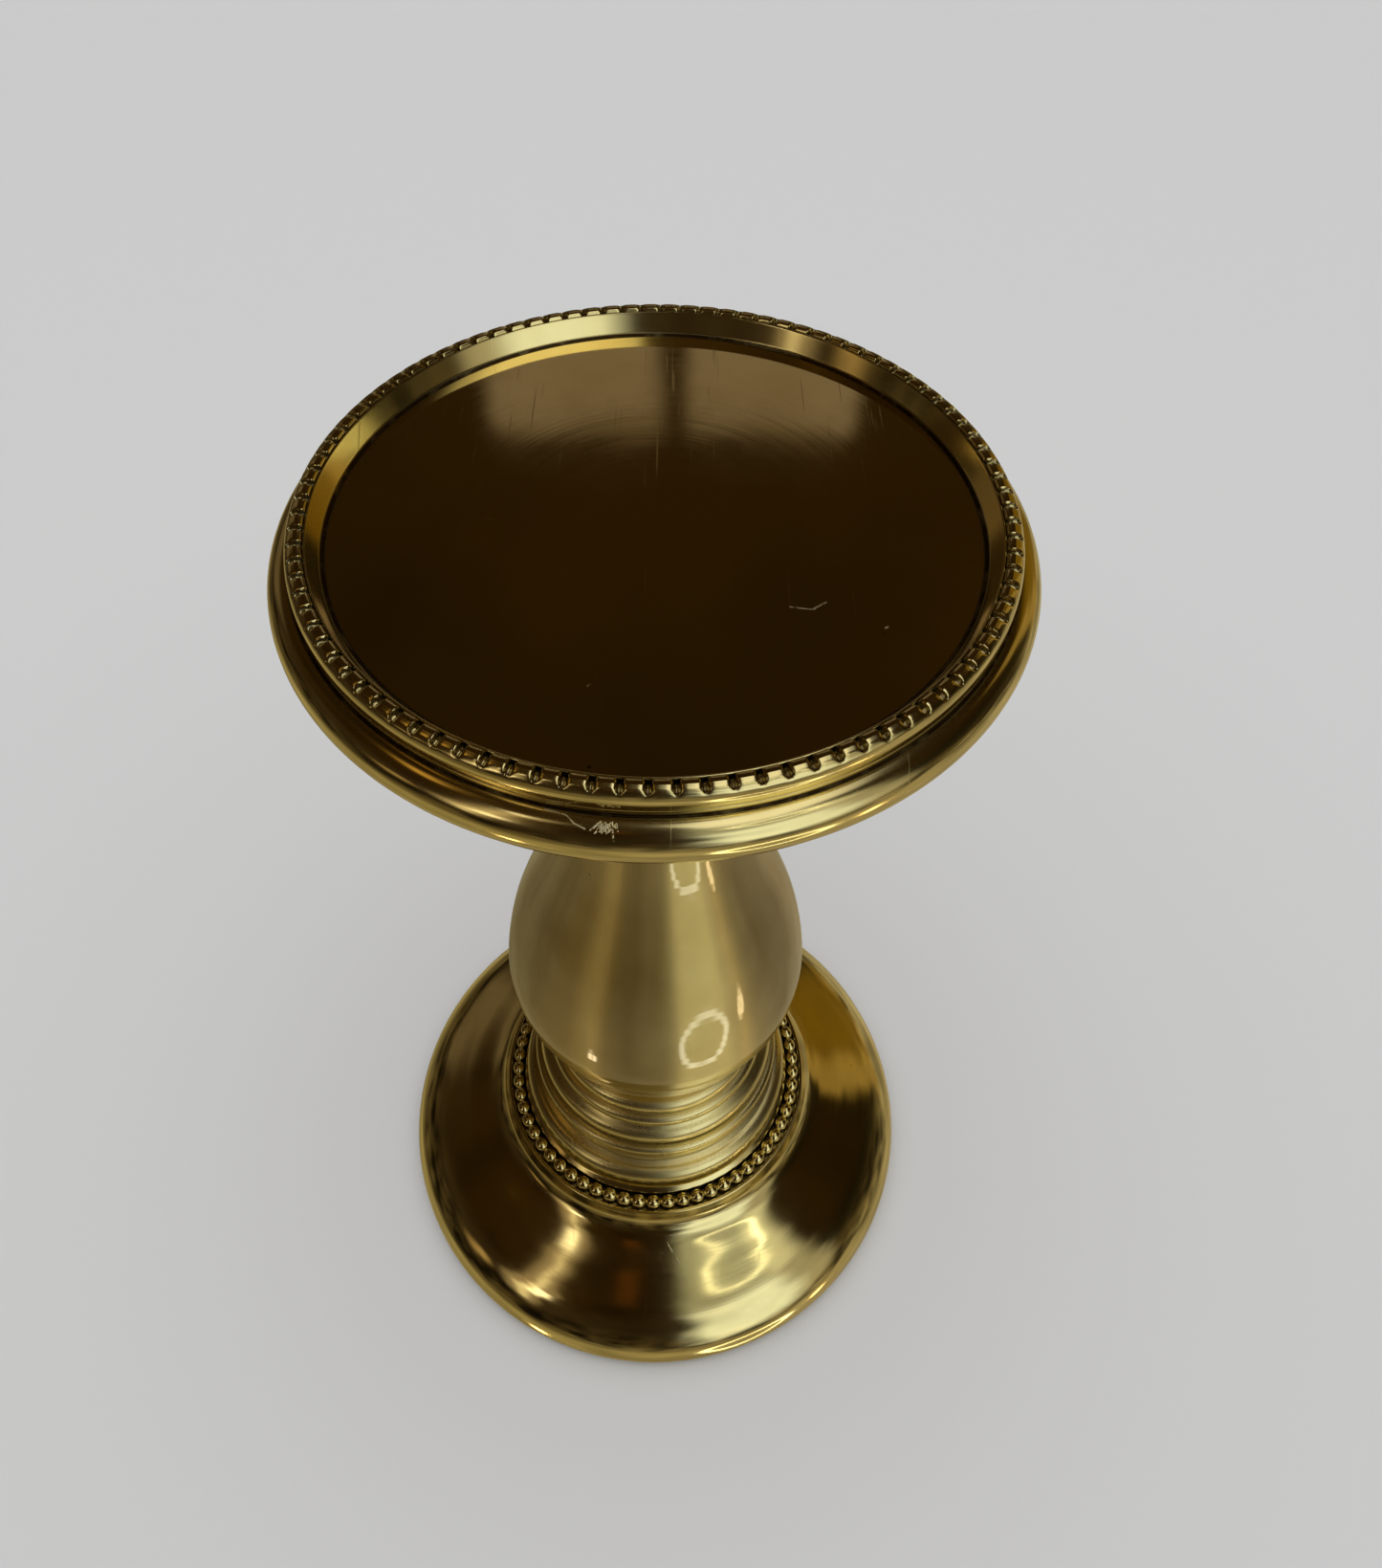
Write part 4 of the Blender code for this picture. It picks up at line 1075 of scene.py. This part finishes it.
# What stands round the holder, as the brass shows it: (azimuth from, to, elevation from, to,
# softness of the edges, all in degrees, and the radiance). Azimuth 0 is the front and 90 the
# right.
ROOM_PATCHES = (
    (15, 50, -2, 45, 6, (0.92, 1.0, 1.0)),           # window
    (50, 66, 2, 62, 5, (0.36, 0.34, 0.27)),          # wall beside it
    (12, 66, 46, 66, 4, (0.36, 0.38, 0.33)),         # wall above it
    (20, 150, 66, 86, 5, (1.0, 1.0, 0.95)),          # skylight
    (-54, -39, 10, 66, 3, (0.26, 0.20, 0.13)),       # warm column
    (-48, -44, 12, 60, 1.5, (0.60, 0.54, 0.38)),     # its bright middle
    (-52, -46, 55, 61, 1.5, (1.6, 1.5, 1.3)),        # globe on it, high
    (-45, -40, 22, 33, 1.5, (1.4, 1.3, 1.1)),        # globe on it, low
    (-70, -62, 9, 16, 3, (0.40, 0.27, 0.12)),        # warm lamp low on the left
    (-112, -84, 56, 68, 5, (0.14, 0.085, 0.025)),    # warm wall on the left
    (-104, -82, 54, 61, 4, (0.50, 0.28, 0.055)),     # golden light high on the left
    (-19, -8, 53, 61, 3, (0.05, 0.016, 0.002)),      # something red in front
    (117, 126, -8, 42, 3, (0.30, 0.20, 0.055)),      # light edge of the warm card
    (126, 148, -8, 38, 4, (0.14, 0.08, 0.004)),      # warm card
    (-147, -121, 8, 26, 5, (0.09, 0.07, 0.045)),     # dim wall behind on the left
)
# The two panes behind, alike on both sides: as above, but degrees from the front either way.
REAR_PANE = (170.5, 179.3, 12, 37.3, 0.6, (0.165, 0.13, 0.105))
# Ring lamp, its image in the shiny tabletop, and those of the globes: (azimuth, elevation,
# half width, half height, share of that which glows, radiance).
RING_LAMPS = (
    (43, 57, 18, 5.5, 0.18, (1.9, 1.9, 1.6)),
    (33, -40, 17, 12, 0.2, (2.6, 2.5, 1.8)),
    (-43, -50, 3.0, 2.6, 0.9, (6.0, 4.6, 2.6)),
    (59, -34, 2.4, 4.5, 0.9, (5.0, 3.7, 1.8)),
)
# Table and dim room on each side: (height, radiance), with straight down 0, level 0.5 and
# straight up 1.
LEFT_ROOM = (
    (0.0, (0.27, 0.22, 0.105)), (0.33, (0.28, 0.23, 0.11)), (0.41, (0.08, 0.06, 0.03)),
    (0.48, (0.025, 0.018, 0.008)), (0.515, (0.022, 0.015, 0.007)), (0.60, (0.030, 0.019, 0.009)),
    (0.72, (0.020, 0.010, 0.0017)), (0.84, (0.020, 0.010, 0.002)), (1.0, (0.04, 0.024, 0.008)),
)
RIGHT_ROOM = (
    (0.0, (0.30, 0.255, 0.165)), (0.34, (0.37, 0.315, 0.195)), (0.44, (0.17, 0.145, 0.09)),
    (0.49, (0.07, 0.055, 0.03)), (0.53, (0.03, 0.022, 0.01)), (0.62, (0.0144, 0.0104, 0.004)),
    (0.72, (0.018, 0.009, 0.0015)), (0.84, (0.018, 0.009, 0.0015)), (1.0, (0.04, 0.024, 0.008)),
)


def make_world():
    """A dim brown room above the level of the table and the pale tabletop below it, with
    windows and lamps as soft patches. Only the brass sees it."""
    world = bpy.data.worlds.new("room")
    bpy.context.scene.world = world
    world.cycles_visibility.diffuse = False
    nodes = Nodes(world)
    place = nodes.add("ShaderNodeTexCoord").outputs["Generated"]
    parts = nodes.add("ShaderNodeSeparateXYZ", {0: place}).outputs
    degree = math.degrees(1.0)
    backwards = nodes.math("MULTIPLY", parts["Y"], -1.0)
    azimuth = nodes.math("MULTIPLY", nodes.math("ARCTAN2", parts["X"], backwards), degree)
    elevation = nodes.math("MULTIPLY", nodes.math("ARCSINE", parts["Z"]), degree)
    clutter = nodes.noise(place, 3.0, 3.0)

    room = dim_room(nodes, place, parts["X"], elevation, clutter)
    room = with_patches(nodes, room, place, azimuth, elevation, clutter)
    room = with_rear_panes(nodes, room, azimuth, elevation)
    room = with_ring_lamps(nodes, room, azimuth, elevation)
    nodes.plug(room, nodes.tree.nodes["Background"].inputs["Color"])


def dim_room(nodes, place, sideways, elevation, clutter):
    """The table and the walls, broken up by clutter, most of all round the horizon."""
    height = nodes.ramp(elevation, -90.0, 90.0)
    left = colour_ramp(nodes, height, LEFT_ROOM)
    right = colour_ramp(nodes, height, RIGHT_ROOM)
    room = nodes.mix(nodes.ramp(sideways, -0.5, 0.6), left, right)
    broad = nodes.ramp(clutter, 0.3, 0.7, 0.65, 1.35)
    strong = nodes.ramp(nodes.noise(place, 7.0, 2.0), 0.4, 0.62, 0.25, 2.4)
    horizon = nodes.band(elevation, -14.0, 12.0, 9.0)
    room = nodes.scaled(room, broad)
    return nodes.mix(horizon, room, nodes.scaled(room, strong))


def with_patches(nodes, room, place, azimuth, elevation, clutter):
    """The windows, walls and lamps, with their edges made a little uneven."""
    wobble = nodes.add("ShaderNodeTexNoise", {"Vector": place, "Scale": 4.0, "Detail": 3.0})
    shift = nodes.add("ShaderNodeSeparateColor", {0: wobble.outputs["Color"]}).outputs
    uneven_azimuth = nodes.math("ADD", azimuth, nodes.ramp(shift["Red"], 0.2, 0.8, -5.0, 5.0))
    uneven_elevation = nodes.math("ADD", elevation, nodes.ramp(shift["Green"], 0.2, 0.8, -4.0, 4.0))
    evenness = nodes.ramp(clutter, 0.3, 0.6, 0.8, 1.05)
    for first, last, low, high, soft, colour in ROOM_PATCHES:
        across = nodes.band(uneven_azimuth, first, last, soft)
        up = nodes.band(uneven_elevation, low, high, soft)
        share = nodes.math("MULTIPLY", nodes.math("MULTIPLY", across, up), evenness)
        room = nodes.plus(room, nodes.scaled(colour, share))
    return room


def with_rear_panes(nodes, room, azimuth, elevation):
    first, last, low, high, soft, colour = REAR_PANE
    across = nodes.band(nodes.math("ABSOLUTE", azimuth), first, last, soft)
    pane = nodes.math("MULTIPLY", across, nodes.band(elevation, low, high, soft))
    return nodes.plus(room, nodes.scaled(colour, pane))


def with_ring_lamps(nodes, room, azimuth, elevation):
    for centre_azimuth, centre_elevation, wide, tall, thick, colour in RING_LAMPS:
        beside = nodes.math("DIVIDE", nodes.math("SUBTRACT", azimuth, centre_azimuth), wide)
        above = nodes.math("DIVIDE", nodes.math("SUBTRACT", elevation, centre_elevation), tall)
        square = nodes.math("MULTIPLY", beside, beside)
        around = nodes.math("SQRT", nodes.math("MULTIPLY_ADD", above, above, square))
        ring = nodes.band(around, 1.0 - thick, 1.0, 0.4 * thick)
        room = nodes.plus(room, nodes.scaled(colour, ring))
    return room


def colour_ramp(nodes, value, stops):
    """A colour for each height: stops are (position from 0 to 1, colour)."""
    ramp = nodes.add("ShaderNodeValToRGB", {"Fac": value})
    elements = ramp.color_ramp.elements
    for element, (position, colour) in zip((elements[0], elements[1]), (stops[0], stops[-1])):
        element.position = position
        element.color = (*colour, 1.0)
    for position, colour in stops[1:-1]:
        elements.new(position).color = (*colour, 1.0)
    return ramp.outputs["Color"]


make_floor()
make_backdrop()
make_camera()
make_overhead()
make_world()
bpy.context.scene.view_settings.view_transform = "Standard"
